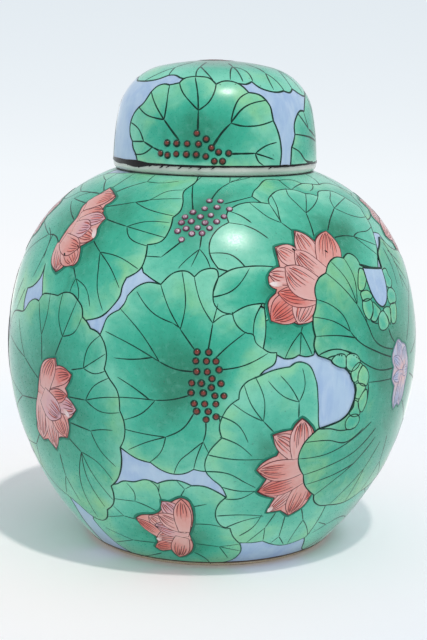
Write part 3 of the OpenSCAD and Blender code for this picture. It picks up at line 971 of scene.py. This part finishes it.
VEINS_LEFT = [
    [[(-50.5, 2), (-50.7, 8), (-51.2, 13)], [(-54.5, 27)], [(-49.7, 22), (-50, 32)]],
    [[(-44.5, 6), (-42.3, 14.5)], [(-44.5, 22), (-44.6, 33.5)], [(-40.2, 24), (-38.8, 31)],
    [(-38.3, 17), (-36.3, 24)]], [[(-38, 0.5), (-34.5, 2)], [(-31, 6), (-28, 9.5)],
    [(-33, 12), (-29.7, 17.5)], [(-31, 0.3), (-28, 2)]], [[(-40.5, -12.5), (-34, -12.5)],
    [(-28.5, -10), (-24, -9)], [(-31.5, -6), (-26.8, -1)], [(-30, -16.5), (-24, -16)]],
    [[(-40, -25), (-33.3, -27)], [(-30, -25.5), (-26.5, -25)], [(-31, -36), (-27, -43)]],
    [[(-42, -33), (-38, -39)], [(-33, -42.5), (-29, -51)], [(-36, -49), (-31, -63)],
    [(-38.5, -53), (-35.5, -69)], [(-42.5, -60), (-42, -78)]],
    [[(-48, -44), (-49, -56)], [(-47.5, -70)], [(-54, -68)]],
    [[(-55, -34), (-62, -44)], [(-66, -58)], [(-73, -46)]],
    [[(-54, -18), (-64, -20)], [(-78, -32)], [(-79, -14)]],
    [[(-52, -8), (-60, 0)], [(-66, 16)], [(-74, 6)]],
]
VEINS_BOTTOM = [
    [[(-17, -66), (-20, -63.5), (-23, -62)], [(-30, -62.5)], [(-22.5, -57), (-24.3, -52)]],
    [[(-14.2, -60), (-14.7, -55)], [(-15, -52), (-17, -49)], [(-14.3, -50.5)]],
    [[(-8.2, -56), (-7, -52)], [(-5, -50)], [(-9, -48)]], [[(-4.5, -62), (-1, -60.5)]],
    [[(-5, -73.5), (2, -74), (6, -76.5)]],
    [[(-4, -88), (4, -90)], [(11, -88.5)], [(12, -94)], [(8, -100)]],
    [[(-24, -74), (-29, -73)], [(-31.5, -68)], [(-36, -76)]],
    [[(-21, -90), (-30, -91)], [(-41, -86)], [(-41, -97)]], [[(-20, -99), (-26, -103), (-32, -106)]],
    [[(-5, -96), (-1, -101), (1, -106)]],
]
VEINS_FOLDED = [
    [[(56, 8), (47, 15), (45.3, 21), (42, 31)], [(38, 39), (33, 46.5)], [(42.8, 44), (41, 52.5)],
    [(40, 42), (36, 51)]], [[(45, 22), (44.3, 31), (44.5, 38), (47, 46)]],
    [[(56, 4), (49, 8), (40, 16.5), (38.5, 19.5)], [(36.5, 27), (33, 32), (28.7, 35)],
    [(33, 25), (27, 27.5)]], [[(40, 16.5), (34, 18.5), (27.5, 19)]],
    [[(56, -1), (49, 0), (43, 4.5), (38, 10.5), (33, 12.5), (28, 10.7)]],
    [[(56, -6), (50, -5.5), (45, -4.8)]], [[(48, -25), (42, -31), (33, -36.5), (24.5, -37)]],
    [[(45, -27), (39, -32), (33, -29.5), (26, -29)]], [[(51, -29), (44, -38), (35, -43), (27, -46)]],
    [[(52, -34), (45, -45), (38, -53), (33, -59)]], [[(45, -45), (37, -49), (29, -51.5)]],
    [[(56, -38), (52, -50)], [(42, -66.5)], [(50, -68.5)]],
    [[(60, -36), (62, -50)], [(58, -65)], [(69, -61)]], [[(66, 10), (72, 26)], [(85, 42)]],
    [[(66, 56), (68, 48), (69, 34)]], [[(66.5, 52), (73, 44)]], [[(68, 46), (75, 36)]],
    [[(63.5, 53), (64.5, 44), (64.5, 36)]], [[(69, 40), (75, 29)]],
    [[(70, 2), (80, 8)], [(92, 12)], [(91, 28)]], [[(70, -8), (80, -14)], [(95, -8)], [(91, -25)]],
    [[(66, -20), (74, -32)], [(88, -40)], [(80, -51)]],
]

# the folded leaf's turned-over edge, and the pool that shows through it
FOLD_LINES = [
    [(28, 10.7), (31, 12.4), (34, 12.5), (38, 10), (42, 5.5)], [(30.5, 9), (33, 9.8), (36.3, 9)],
    [(44.8, -5), (45.2, -9), (45, -13), (43.5, -18.5)],
    [(29.5, -23.3), (33, -23.8), (36, -25.3), (42, -25.3)], [(54.5, 17.7), (55.5, 14), (57.5, 10.5)],
    [(46.5, 23), (47.5, 22), (49.7, 21)],
]
WATER_CELLS = [
    [(32, 8.2), (33, 9.7), (36.2, 9.5), (36.4, 4)],
    [(36.5, 6), (36.8, 9), (38.5, 9.8), (40.5, 8.5), (41.5, 5.5), (38.3, 1.8), (36.7, 3.8)],
    [(38.3, 1), (41.6, 5), (42.3, 3.8), (41, 1), (40.6, -3), (39.8, -3.5)],
    [(41.2, 1), (42.3, 3.6), (44.1, 1.5), (45, -3), (44.2, -6), (42.5, -5.6), (41, -3.5), (40.7, -1)],
    [(40.2, -4.2), (41.2, -4.2), (44, -6.8), (43, -8.8), (41.6, -11.6), (40.5, -11), (40.5, -7)],
    [(44.3, -7.8), (45, -12), (44.5, -16), (43.5, -18.3), (42, -16), (41.6, -13), (42.5, -10)],
    [(40.3, -12), (41.4, -13), (42.1, -16), (42.8, -19), (39.7, -19.3), (38.8, -18), (40, -15)],
    [(38.5, -19.7), (42.4, -19.7), (43, -22), (42, -25), (38.3, -24.8), (37.8, -22)],
]
POOL_CELLS = [
    [(46.5, 47), (44.5, 43), (44, 37), (45.3, 37), (47, 39.5), (48, 43), (47.6, 46)],
    [(44.2, 36), (45.5, 36.7), (47.5, 36.3), (48.8, 33.3), (48, 32.6), (44.4, 32.8)],
    [(44.3, 31.7), (48, 31.9), (48.4, 29), (47.5, 25.6), (46, 23.4), (44.5, 26), (44, 29)],
    [(48.6, 31), (50.3, 28.8), (51.5, 26.6), (50, 24), (48.6, 22.2), (46.8, 23.3), (47.9, 26)],
    [(49.8, 21), (50.2, 18.6), (53, 17.6), (54.7, 19.5), (54.3, 23), (52.5, 26.2), (50.6, 25)],
    [(53, 26.7), (55, 27.6), (56.7, 26.4), (56.2, 22), (55.5, 19.3), (54.8, 22.5)],
    [(56.7, 29), (59, 28.2), (61, 29), (61.4, 33), (60, 35.2), (57.7, 35.3), (56.4, 33)],
    [(56.7, 27.5), (60.3, 27.7), (60, 23), (58.5, 19.4), (56.8, 19.4), (56.4, 23)],
    [(57.6, 44.6), (57.4, 36.4), (60, 36), (61, 38.5), (60, 41.5), (59.5, 44.5)],
]
POOL = [
    (47.7, 47, N), (48, 40), (49, 34), (51, 29.5), (53, 28), (55, 29.7), (56.5, 34), (57, 45, N),
    (52, 46),
]
POOL_LIP = [(46.5, 48.7), (52, 46.3), (57.5, 45.3)]
SPOTS = [(35.3, 56.5), (-17.5, -77), (-48.7, 51), (-44.3, 55.8), (24.3, 58.3), (13, 33)]

CORAL, PALE, DEEP = (220, 138, 128), (222, 166, 162), (214, 100, 88)
MAUVE, LILAC, GREY, TOUCH = (210, 160, 172), (164, 180, 212), (178, 190, 212), (238, 226, 226)
# each blossom's petals: (tip, base, width in mm, tint, bend), and the body behind them
BLOSSOM_UPPER_LEFT = [
    ((-50, 43), (-53, 56.5), 8, PALE, 0), ((-43.5, 47), (-49.5, 54), 9, CORAL, 0),
    ((-42, 75.5), (-52, 70.5), 8, CORAL, 0.05), ((-39, 71.5), (-50.5, 67.5), 7, MAUVE, 0.05),
    ((-39.6, 60.5), (-49, 62.5), 7, CORAL, 0), ((-43, 66), (-51, 64.5), 9, MAUVE, -0.05),
    ((-43.5, 55.5), (-53, 58), 9, CORAL, -0.1), ((-42.5, 85.5), (-53.5, 77), 9, CORAL, 0.08),
    ((-39.5, 60.5), (-41, 66), 2, TOUCH, 0),
]
BODY_UPPER_LEFT = [
    (-50.5, 90.5, N), (-46.5, 88.5), (-42, 85, N), (-42, 82), (-43.5, 79.5, N), (-43, 76), (-41, 73.5),
    (-39, 71.5, N), (-40, 67.5), (-40, 65, N), (-39.3, 62), (-40, 59.5, N), (-42, 57.5), (-43.5, 56, N),
    (-42.5, 52.5), (-42.3, 48.5), (-43.5, 46.5, N), (-46.5, 46.5), (-48, 44.5, N), (-50, 42.5, N),
    (-52, 44), (-54, 48.5), (-54.3, 53.5), (-53.7, 64), (-53, 70), (-55, 77.5), (-53, 83),
]
BLOSSOM_LEFT = [
    ((-55, -38), (-51, -15), 9, PALE, 0), ((-49, -41), (-48.5, -21.5), 8, PALE, 0),
    ((-43, -33), (-46.5, -19), 9, CORAL, 0), ((-37.5, -18), (-46, -17.5), 8, MAUVE, 0.05),
    ((-40.5, -12), (-48.5, -15), 6, DEEP, 0), ((-38.5, -2), (-47.5, -8), 8, DEEP, 0.08),
    ((-44.8, 3.7), (-49.5, -12), 9, CORAL, 0.08), ((-43.5, -23.5), (-50.5, -14.5), 12, MAUVE, -0.08),
    ((-40.2, -22.3), (-42, -19), 2, TOUCH, 0),
]
BODY_LEFT = [
    (-44.5, 4, N), (-44, 1), (-43.5, -1, N), (-38.5, -2, N), (-39.3, -5), (-41, -9, N), (-40.3, -11),
    (-40.5, -13.5, N), (-39, -15.5), (-37.5, -18, N), (-39.5, -22, N), (-41, -23.5, N), (-41, -27),
    (-42.5, -33, N), (-45, -33.5, N), (-47.5, -35, N), (-49, -41.5, N), (-52, -37, N), (-55, -38.5, N),
    (-57, -35), (-56, -28.5), (-54, -21), (-52.3, -10), (-51, -3.5), (-49, 1),
]
BLOSSOM_RIGHT = [
    ((19, 59.5), (26, 52), 9, PALE, 0), ((27, 67.5), (32, 50), 10, PALE, 0.05),
    ((15.5, 47.5), (23, 45), 7, PALE, 0), ((15.2, 27), (25, 37.5), 12, DEEP, 0),
    ((22.5, 25), (28, 39), 11, PALE, 0), ((17.5, 39), (30, 37), 8.5, DEEP, 0.06),
    ((38.5, 66.5), (34, 47), 13, CORAL, 0), ((24.5, 58), (33, 45), 10, PALE, 0.1),
    ((20.5, 50.5), (31, 38), 12, PALE, 0.08), ((15.3, 43), (19, 42.5), 2, TOUCH, 0),
]
BODY_RIGHT = [
    (38.5, 66.5, N), (40.3, 62), (40, 57), (36, 50), (31, 42), (29, 35), (28, 30), (25, 25.5), (22.5, 25),
    (20.5, 27.5, N), (19, 29, N), (17.5, 27.5), (15.3, 26.7, N), (14.8, 31), (14.7, 34.5), (17, 38.8, N),
    (17.3, 40.5, N), (15.7, 42), (15.3, 46, N), (17, 49), (19, 50.5, N), (18.8, 55), (18.6, 59.8, N),
    (21.5, 60.8), (25, 59.5, N), (25.5, 62), (26.5, 67.7, N), (29.5, 66), (32.5, 61.5, N), (34, 64),
]
BLOSSOM_LOWER_RIGHT = [
    ((18.3, -66), (27, -50), 7, PALE, 0), ((31, -61), (27.5, -47), 9, DEEP, 0),
    ((26, -69.5), (28, -50), 10, CORAL, 0), ((14, -53.2), (27.5, -47), 9, DEEP, 0.04),
    ((16.5, -24.5), (25.5, -38), 9, PALE, -0.05), ((13, -41.5), (27, -41), 10, CORAL, 0.05),
    ((24, -17.5), (24.7, -37), 10, PALE, 0), ((18.2, -66), (19.5, -63), 2, TOUCH, 0),
]
BODY_LOWER_RIGHT = [
    (24, -17.3, N), (26.3, -20.5), (28, -25), (27, -31), (26, -40), (28, -49.5), (31.5, -59.5, N),
    (31, -63), (26, -69.7, N), (22.5, -65.7, N), (18, -66.3, N), (19, -61), (19.5, -57.5, N), (16.5, -56),
    (13.8, -53.3, N), (15, -50), (16, -46.5, N), (14.5, -44.5), (12.8, -41.5, N), (14, -38.5),
    (18, -34.7, N), (18.5, -32), (17, -27), (16.3, -24.3, N), (19, -23), (21.7, -22.5, N), (22.3, -20),
]
BLOSSOM_BOTTOM = [
    ((-19.3, -69.7), (-14.5, -77), 7, PALE, 0), ((-14, -60), (-9, -70), 8, MAUVE, 0),
    ((-20.8, -93.5), (-10, -87), 7, DEEP, 0), ((-24, -73), (-15.5, -84.5), 6, DEEP, 0),
    ((-18.5, -84.5), (-6.5, -81), 9, PALE, 0), ((-18, -75.5), (-6.5, -79), 9, MAUVE, 0.05),
    ((-16, -67.7), (-6.5, -77), 9, PALE, 0.05), ((-8.2, -57.7), (-8.2, -79), 7.5, CORAL, 0),
    ((-12, -99.9), (-9.2, -83), 9.5, CORAL, 0), ((-19, -86), (-17, -86), 2, TOUCH, 0),
]
BODY_BOTTOM = [
    (-10, -58.5, N), (-8, -57.3), (-6.3, -58.7), (-5.3, -63), (-5, -69.5), (-6, -77, N), (-7, -82, N),
    (-5.7, -88), (-6.5, -93.5), (-9, -98), (-11.7, -100, N), (-13.5, -96.5), (-14.3, -93, N),
    (-16.5, -95), (-19, -95.7), (-20.8, -93, N), (-19, -89), (-18.7, -84.7, N), (-20.7, -80),
    (-24.3, -73, N), (-22, -70.3), (-19.7, -69.5, N), (-16, -67.5), (-15, -66, N), (-14.2, -63.5),
    (-14.2, -59.7, N), (-12, -60.3),
]
BLOSSOM_FAR_RIGHT = [
    ((59, 10.5), (62, -2), 5, LILAC, 0), ((63.5, 7), (63, -3), 5, GREY, 0),
    ((56.5, 4), (62.5, -3), 5, LILAC, 0), ((56.6, -6), (63, -6), 5, LILAC, 0),
    ((59.6, -21), (62.5, -6), 5, LILAC, 0), ((63.5, -20.5), (63.5, -6), 5, GREY, 0),
    ((66, -4), (63, -5), 5, GREY, 0),
]
BODY_FAR_RIGHT = [
    (57.5, 9, N), (59.5, 11), (61.5, 9, N), (64, 7.5), (65.5, 3, N), (66.5, 0), (66.5, -7),
    (65.5, -13, N), (65, -18), (63, -21, N), (61.3, -19.5), (59.5, -21.5, N), (58, -17), (58, -10, N),
    (56.2, -6), (57, -1, N), (55.8, 4),
]
BLOSSOM_SIDE = [
    ((79, 70), (93, 64), 11, PALE, 0), ((84, 80), (94, 66), 11, CORAL, 0),
    ((96, 83), (94, 66), 11, PALE, 0), ((106, 74), (93, 65), 11, CORAL, 0),
    ((107, 58), (93, 63), 11, PALE, 0), ((98, 46), (93, 62), 11, CORAL, 0),
    ((84, 49), (92, 62), 11, PALE, 0), ((78, 59), (93, 63), 10, CORAL, 0),
    ((93, 72), (93, 58), 9, MAUVE, 0),
]


def pond(turn, tag):
    """One full scene of leaves and blossoms, half-way round the jar, from the lowest layer up."""
    low, mid, raised, high = (Sheet(JAR, s) for s in (-60, 0, 48, 70))

    def grow(name, *shape, **settings):
        leaf(f"{tag}_leaf_{name}", *shape, turn=turn, **settings)

    def bloom(name, sheet, petals, body, layer=6, **settings):
        blossom(f"{tag}_blossom_{name}", sheet, petals, layer, turn=turn, body=body, **settings)

    grow("shoulder", high, LEAF_SHOULDER, 0.6, (-3, 77), VEINS_SHOULDER, tone=-0.3, core=0.1)
    grow("lime", high, LEAF_LIME, 1.4, (55, 76), VEINS_LIME, lime=0.7)
    grow("low_right", low, LEAF_LOW_RIGHT, 1, (66, -84), VEINS_LOW_RIGHT, tone=-0.3)
    grow("upper_left", high, LEAF_UPPER_LEFT, 2, (-46, 66), VEINS_UPPER_LEFT, tone=-0.1, core=0.3,
         lime=0.8)
    grow("shoulder_right", high, LEAF_SHOULDER_RIGHT, 2.25, (44, 66), VEINS_SHOULDER_RIGHT,
         tone=-0.25, core=0.1)
    grow("bottom", low, LEAF_BOTTOM, 2, (-8, -88), VEINS_BOTTOM, tone=-0.3, core=0.5, lime=0.7,
         pen="soft_ink")
    grow("fold_top", mid, LEAF_FOLD_TOP, 3.1, (20, 38), VEINS_FOLD_TOP)
    grow("under_blossom", mid, LEAF_UNDER_BLOSSOM, 3.1, (19, 30), VEINS_UNDER_BLOSSOM, tone=0.2)
    grow("centre", mid, LEAF_CENTRE, 3.95, (-5, 3), VEINS_CENTRE, tone=-0.1, core=0.5, lime=0.5)
    grow("lower_right", mid, LEAF_LOWER_RIGHT, 4.8, (20, -40), VEINS_LOWER_RIGHT, tone=-0.35, core=0.1,
         lime=0.8, pen="soft_ink")
    grow("left", mid, LEAF_LEFT, 4.8, (-47, -6), VEINS_LEFT, tone=0.15, core=0.5, lime=0.5)
    blossom(tag + "_blossom_side", high, BLOSSOM_SIDE, 6, turn=turn - 5)
    bloom("upper_left", high, BLOSSOM_UPPER_LEFT, BODY_UPPER_LEFT)
    bloom("left", mid, BLOSSOM_LEFT, BODY_LEFT)
    bloom("bottom", low, BLOSSOM_BOTTOM, BODY_BOTTOM)
    bloom("right", raised, BLOSSOM_RIGHT, BODY_RIGHT)
    bloom("lower_right", mid, BLOSSOM_LOWER_RIGHT, BODY_LOWER_RIGHT)
    grow("folded", mid, LEAF_FOLDED, 11, (55, 0), VEINS_FOLDED, tone=0.2, core=0.9, lime=0.9)
    cells(tag + "_water_cell", mid, WATER_CELLS, 12.0, turn)
    cells(tag + "_pool_cell", mid, POOL_CELLS, 12.0, turn)
    fold = Ink(mid, 11.4)
    for path in FOLD_LINES:
        fold.draw(path, 0.72, 0.6, turn)
    fold.make(tag + "_fold_ink", "ink")
    loop = margin(mid, POOL, turn)
    slab(tag + "_pool", mid, loop, 12.9, "water")
    pool = Ink(mid, 12.9)
    pool.ring(loop, 0.85)
    pool.draw(POOL_LIP, 1.4, 1.0, turn)
    pool.make(tag + "_pool_ink", "ink")
    bloom("far_right", mid, BLOSSOM_FAR_RIGHT, BODY_FAR_RIGHT, 13.6, ground=GREY, line="soft_line")
    spots = Ink(mid, 10.6)
    for az, s in SPOTS:
        spots.draw([(az - 0.45, s + 0.5), (az, s), (az + 0.45, s - 0.6)], 1.1, 0.9, turn)
    spots.make(tag + "_dark_spots", "border")


# ---------------------------------------------------------------- the lid

LID_FRONT = [
    (-46.5, 1.8, N), (-48, 5), (-49, 6.5, N), (-51, 8.5), (-52, 11.5, N), (-54.5, 14), (-56, 19),
    (-54, 24), (-50, 27.5, N), (-47.5, 29), (-44, 35, N), (-41, 38.5), (-36, 40), (-32, 39.5, N),
    (-28, 40.3), (-25, 41, N), (-23.5, 43.5), (-18, 45.3), (-12, 45.5), (-5, 44.5), (0, 40.5, N),
    (4, 42.3), (9, 42.7), (15, 41), (20.5, 36, N), (24, 35.7), (28, 34.5), (31, 32, N), (33, 29),
    (33.5, 25.5), (34, 22.5, N), (36, 19), (38, 13), (38.5, 8), (37.5, 1.8, N),
]
LID_FRONT_VEINS = [
    [[(-31, 8), (-36, 9.5)], [(-42, 6.3), (-49, 5.7)]],
    [[(-36, 9.5), (-42.5, 11.8)], [(-47, 17), (-55.5, 20)], [(-52, 11.5)]], [[(-20.5, 14), (-29.7, 22.3)],
    [(-35, 22.8), (-42, 24), (-50, 27.5)], [(-37, 29), (-43.7, 35.3)], [(-29.3, 28), (-31.5, 39)]],
    [[(-9.5, 18.5), (-9.7, 27)], [(-15, 31), (-20, 35), (-25, 41)], [(-11, 35), (-15, 44.5)],
    [(-4, 31), (-1, 36), (0, 40.5)]], [[(-1, 11), (4, 17.5), (8.5, 21.5)],
    [(10, 27), (14, 33), (20.5, 36)], [(16, 28.5), (30.5, 32)], [(14, 20.3), (22, 20.2), (33.7, 22.5)]],
    [[(9, 7.6), (15, 7.7), (22, 7.8)], [(28, 11), (35, 12.5)], [(28, 6.3), (33, 5)],
    [(24, 4), (26.5, 2.5)]],
]
LID_SIDE = [
    (45.5, 1.8, N), (46, 6), (46.5, 10, N), (48, 12), (50, 16, N), (50, 20), (53.5, 24.5), (57, 26.5),
    (63, 26.5, N), (66, 29.5), (70, 32), (75, 34, N), (81, 36), (88, 33, N), (92, 28), (94, 20, N),
    (97, 12), (98, 1.8, N),
]
LID_SIDE_VEINS = [
    [[(78, 12), (66, 14.3), (50, 16)]], [[(70, 2.6), (60, 3.5), (53, 8), (47, 10)]],
    [[(78, 14), (66, 18)], [(55, 25.5)], [(62, 26.3)]], [[(80, 15), (79, 24)], [(77, 33)], [(88, 34)]],
    [[(82, 12), (88, 16)], [(94, 20)], [(90, 29)]],
]
LID_TOP = [
    (-80, 44, N), (-72, 41.5), (-64, 41.3), (-55, 41.5), (-45, 43), (-38, 46, N), (-33, 46.3),
    (-27, 44.5, N), (-20, 43), (-5, 41), (10, 40.5, N), (15, 41.2), (20, 40.8), (25, 42.5, N), (29, 39),
    (35, 37), (42, 36.3), (48, 37, N), (53, 36), (59, 38, N), (63, 36), (70, 34), (82, 36), (90, 41, N),
    (105, 44), (122, 46, N), (140, 43), (158, 41.5), (168, 44, N), (185, 42), (200, 43), (212, 40, N),
    (225, 38.5), (240, 40), (252, 44, N), (265, 42.5),
]
LID_TOP_VEINS = [
    [[(-17, 66), (-16, 56)], [(-9, 50), (-2, 43)], [(-15.5, 47), (-14, 44)]],
    [[(-42, 66), (-42, 54)], [(-38, 46)], [(-52, 46), (-58, 42)]],
    [[(18, 64), (17, 57)], [(12, 51), (10, 44)], [(18, 50), (18.5, 43)], [(25, 52), (26, 43)]],
    [[(44, 62), (43.5, 49)], [(40, 43), (39.5, 38)], [(47, 43), (48.5, 37.5)]],
    [[(74, 64), (72, 52)], [(60, 42), (59, 38.5)], [(72, 36)], [(88, 42)]],
    [[(108, 64), (108, 54)], [(98, 44)], [(120, 46)]], [[(140, 64), (141, 54)], [(132, 46)], [(148, 43)]],
    [[(172, 64), (171, 54)], [(160, 43)], [(176, 44)], [(186, 44)]],
    [[(205, 64), (206, 52)], [(197, 44)], [(212, 41)]],
    [[(236, 64), (234, 52)], [(224, 40)], [(244, 42)]],
    [[(268, 64), (270, 54)], [(256, 44)], [(282, 45)]],
]
LID_BLOSSOM = [
    ((-12, 75.5), (0, 82), 4, PALE, 0), ((40, 75), (40, 82), 4, MAUVE, 0),
    ((95, 75.5), (95, 82), 4, PALE, 0), ((150, 75), (150, 82), 4, CORAL, 0),
    ((205, 75.5), (205, 82), 4, PALE, 0), ((262, 75), (262, 82), 4, MAUVE, 0),
    ((310, 75.5), (310, 82), 4, PALE, 0), ((14, 79), (14, 82.6), 3, CORAL, 0),
    ((130, 79), (130, 82.6), 3, MAUVE, 0), ((250, 79), (250, 82.6), 3, CORAL, 0),
]
LID_BORDER_POOL = [
    (-84, 2.2), (-74, 0.9), (-66, 0.5), (-57, 0.6), (-50, -0.2), (-43, 0.1), (-38, 0.9), (-32, 1.7),
    (-38, 2.2), (-47, 3.0), (-58, 2.8), (-70, 2.9),
]
# drips of the border's black: (azimuth, lower end, width)
LID_DRIPS = [
    (-55, 0.2, 0.8), (-45, -0.4, 0.9), (-37, 0.5, 0.7), (-30, 0.1, 0.8), (-26, 0.4, 0.5), (-19, 0.1, 0.7),
    (-13, 0.4, 0.5), (-8, 0.0, 0.7), (-1, 0.4, 0.5), (31, 0.5, 0.5),
]


def lid_border():
    band("lid_border_ink", LID, 1.2, 2.1, 0.3, "border", wave=0.35, around=360)
    edge = Sheet(LID, 2)
    slab("lid_border_pool", edge, margin(edge, LID_BORDER_POOL), 5.0, "border")
    drips = Ink(edge, 5.0)
    for az, low, width in LID_DRIPS:
        drips.draw([(az + 1.5, 1.5), (az, low + 0.5), (az - 1, low)], width, width * 0.6)
    drips.make("lid_border_drips", "border")


def lid_painting():
    side, top, weight = Sheet(LID, 15), Sheet(LID, 60, side=False), 1.5
    for turn, tag in ((0, "lid_front"), (180, "lid_back")):
        leaf(tag + "_leaf", side, LID_FRONT, 2, (-10, 6), LID_FRONT_VEINS, turn, tone=-0.2, core=1.0,
             lime=0.7, weight=weight)
        leaf(tag + "_side_leaf", side, LID_SIDE, 1, (78, 8), LID_SIDE_VEINS, turn, lime=0.3,
             weight=weight)
    # the top leaf runs from deep green at the apex to pale mint further out, all round the lid; that mint
    # outer part is a painted reflection, the broad band of light the lid's shoulder catches from above
    leaf("lid_top_leaf", top, LID_TOP, 1, (0, 82.9), LID_TOP_VEINS, tone=-1.0, core=1.0, spread=1.35,
         lime=0.4, weight=weight)
    blossom("lid_blossom", top, LID_BLOSSOM, 3)


# ---------------------------------------------------------------- the whole jar

def dress():
    band("jar_water", JAR, -104.9, 107.1, 0.05, "water", rows=90, around=180)
    band("foot_ink", JAR, -105.2, -104.4, 0.36, "foot", wave=0.1)
    # a dark line round the shoulder just under the lid's rim, mostly painted shade where the lid sits on
    # the jar
    band("shoulder_ink", JAR, 106.5, 107.2, 0.34, "ink", wave=0.15)
    pond(0, "front")
    pond(180, "back")
    band("lid_water", LID, 1.6, 50.0, 0.05, "water", rows=26, around=180)
    lid_border()
    lid_painting()
    jar_beads = seeds("jar_seeds", JAR, "jar")
    lid_beads = seeds("lid_seeds", LID, "lid")
    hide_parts("jar_seeds")
    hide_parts("lid_seeds")
    for name in ("jar_body", "lid"):
        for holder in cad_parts[name].material_slots:
            holder.material = PAINTS["porcelain"]


# ---------------------------------------------------------------- camera, floor and light

def sweep_material():
    """Pale paper: it takes the jar's shadow up close and, further back, shows the camera a painted tint
    that darkens towards the top of the sweep, painted shade of the light falling off there. Round the jar
    it is painted whiter, painted light against the shade and green cast that the jar throws on it, and to
    the jar's right it glows a little for the camera, painted light that lightens the jar's shadow there.
    """
    n = Paint("paper_sweep", 0.9, specular_ior_level=0.0)
    x, y, _ = n.axes()
    front, back = -0.3, 1.8
    # the tint's stops along the paper; the darker ones towards the top of the sweep are painted shade,
    # the light falling off on the rising paper
    stops = ((-0.3, (243, 247, 251)), (-0.18, (220, 238, 252)), (0.15, (240, 247, 255)),
             (0.4, (250, 252, 254)), (1.1, (249, 251, 254)), (1.4, (243, 248, 252)),
             (1.7, (227, 235, 241)))
    depth = n.add("ValToRGB")
    tint = n.fed(depth, n.ramp(y, front, back, smooth=False))
    elements = depth.color_ramp.elements
    while len(elements) < len(stops):
        elements.new(0.5)
    for stop, (place, shade) in zip(elements, stops):
        stop.position, stop.color = (place - front) / (back - front), paint(*shade)
    colour = n.mix(n.ramp(n.noise(3.0, 2.0, 0.5), 0.3, 0.7, 0.0, 0.3), tint, (246, 249, 251))
    near = n.math("SQRT", n.math("ADD", n.math("MULTIPLY", x, x), n.math("MULTIPLY", y, y)))
    # painted whiter round the jar: painted light against the shade and green cast that the jar throws on
    # the paper
    n.set(base_color=n.mix(n.ramp(near, 0.34, 0.12), colour, (255, 252, 254)))
    rays = n.add("LightPath").outputs
    seen = n.math("ADD", rays["Is Camera Ray"], rays["Is Glossy Ray"])
    seen = n.math("ADD", seen, rays["Is Transmission Ray"], clamp=True)
    # a little glow for the camera to the jar's right: painted light that lightens the jar's shadow there
    right = n.math("MULTIPLY", n.ramp(near, 0.06, 0.075), n.ramp(x, -0.08, 0.1, 0.0, 0.32))
    glowing = n.math("MAXIMUM", n.ramp(y, 0.2, 0.45), right)
    n.surface("Material Output", n.math("MULTIPLY", seen, glowing), n.shader.outputs[0],
              n.fed(n.add("Emission"), tint))
    return n.material


def room():
    """Even white surroundings as fill light, seen by the camera as the paper's own white."""
    world = bpy.data.worlds.new("soft_room")
    world.use_nodes = True
    n = Tree(world.node_tree)
    fill = n.tree.nodes["Background"]
    fill.inputs["Color"].default_value = FILL_COLOUR
    fill.inputs["Strength"].default_value = FILL
    rays = n.add("LightPath").outputs
    seen = n.math("ADD", rays["Is Camera Ray"], rays["Is Transmission Ray"], clamp=True)
    n.surface("World Output", seen, fill.outputs[0], n.fed(n.add("Background"), (243, 248, 251)))
    bpy.context.scene.world = world


def studio():
    half_width, front, back, bend, tall = 3.0, -1.6, 1.1, 0.7, 2.6
    curve = [(back + bend * math.sin(a), bend * (1 - math.cos(a)))
             for a in np.linspace(0, math.pi / 2, 14)]
    profile = [(front, 0.0)] + curve + [(back + bend, tall)]
    verts = [(x, y, z) for y, z in profile for x in (-half_width, half_width)]
    faces = [[a, a + 1, a + 3, a + 2] for a in range(0, len(verts) - 2, 2)]
    link("paper_sweep", smooth_mesh("paper_sweep", verts, faces, sweep_material()))
    room()

    lamp = bpy.data.lights.new("key_light", "SUN")
    lamp.energy, lamp.angle, lamp.color = KEY, KEY_ANGLE, KEY_COLOUR
    key = link("key_light", lamp)
    key.location = KEY_FROM
    key.rotation_euler = KEY_FROM.to_track_quat("Z", "Y").to_euler()

    lens = bpy.data.cameras.new("camera")
    lens.sensor_width, lens.lens = 36.0, EYE_LENS
    eye = link("camera", lens)
    eye.location = EYE
    tilt, roll = math.radians(90 + EYE_TILT), math.radians(EYE_ROLL)
    eye.rotation_euler = (Matrix.Rotation(tilt, 3, "X") @ Matrix.Rotation(roll, 3, "Z")).to_euler()
    bpy.context.scene.camera = eye
    bpy.context.scene.view_settings.view_transform = "Standard"


studio()
dress()
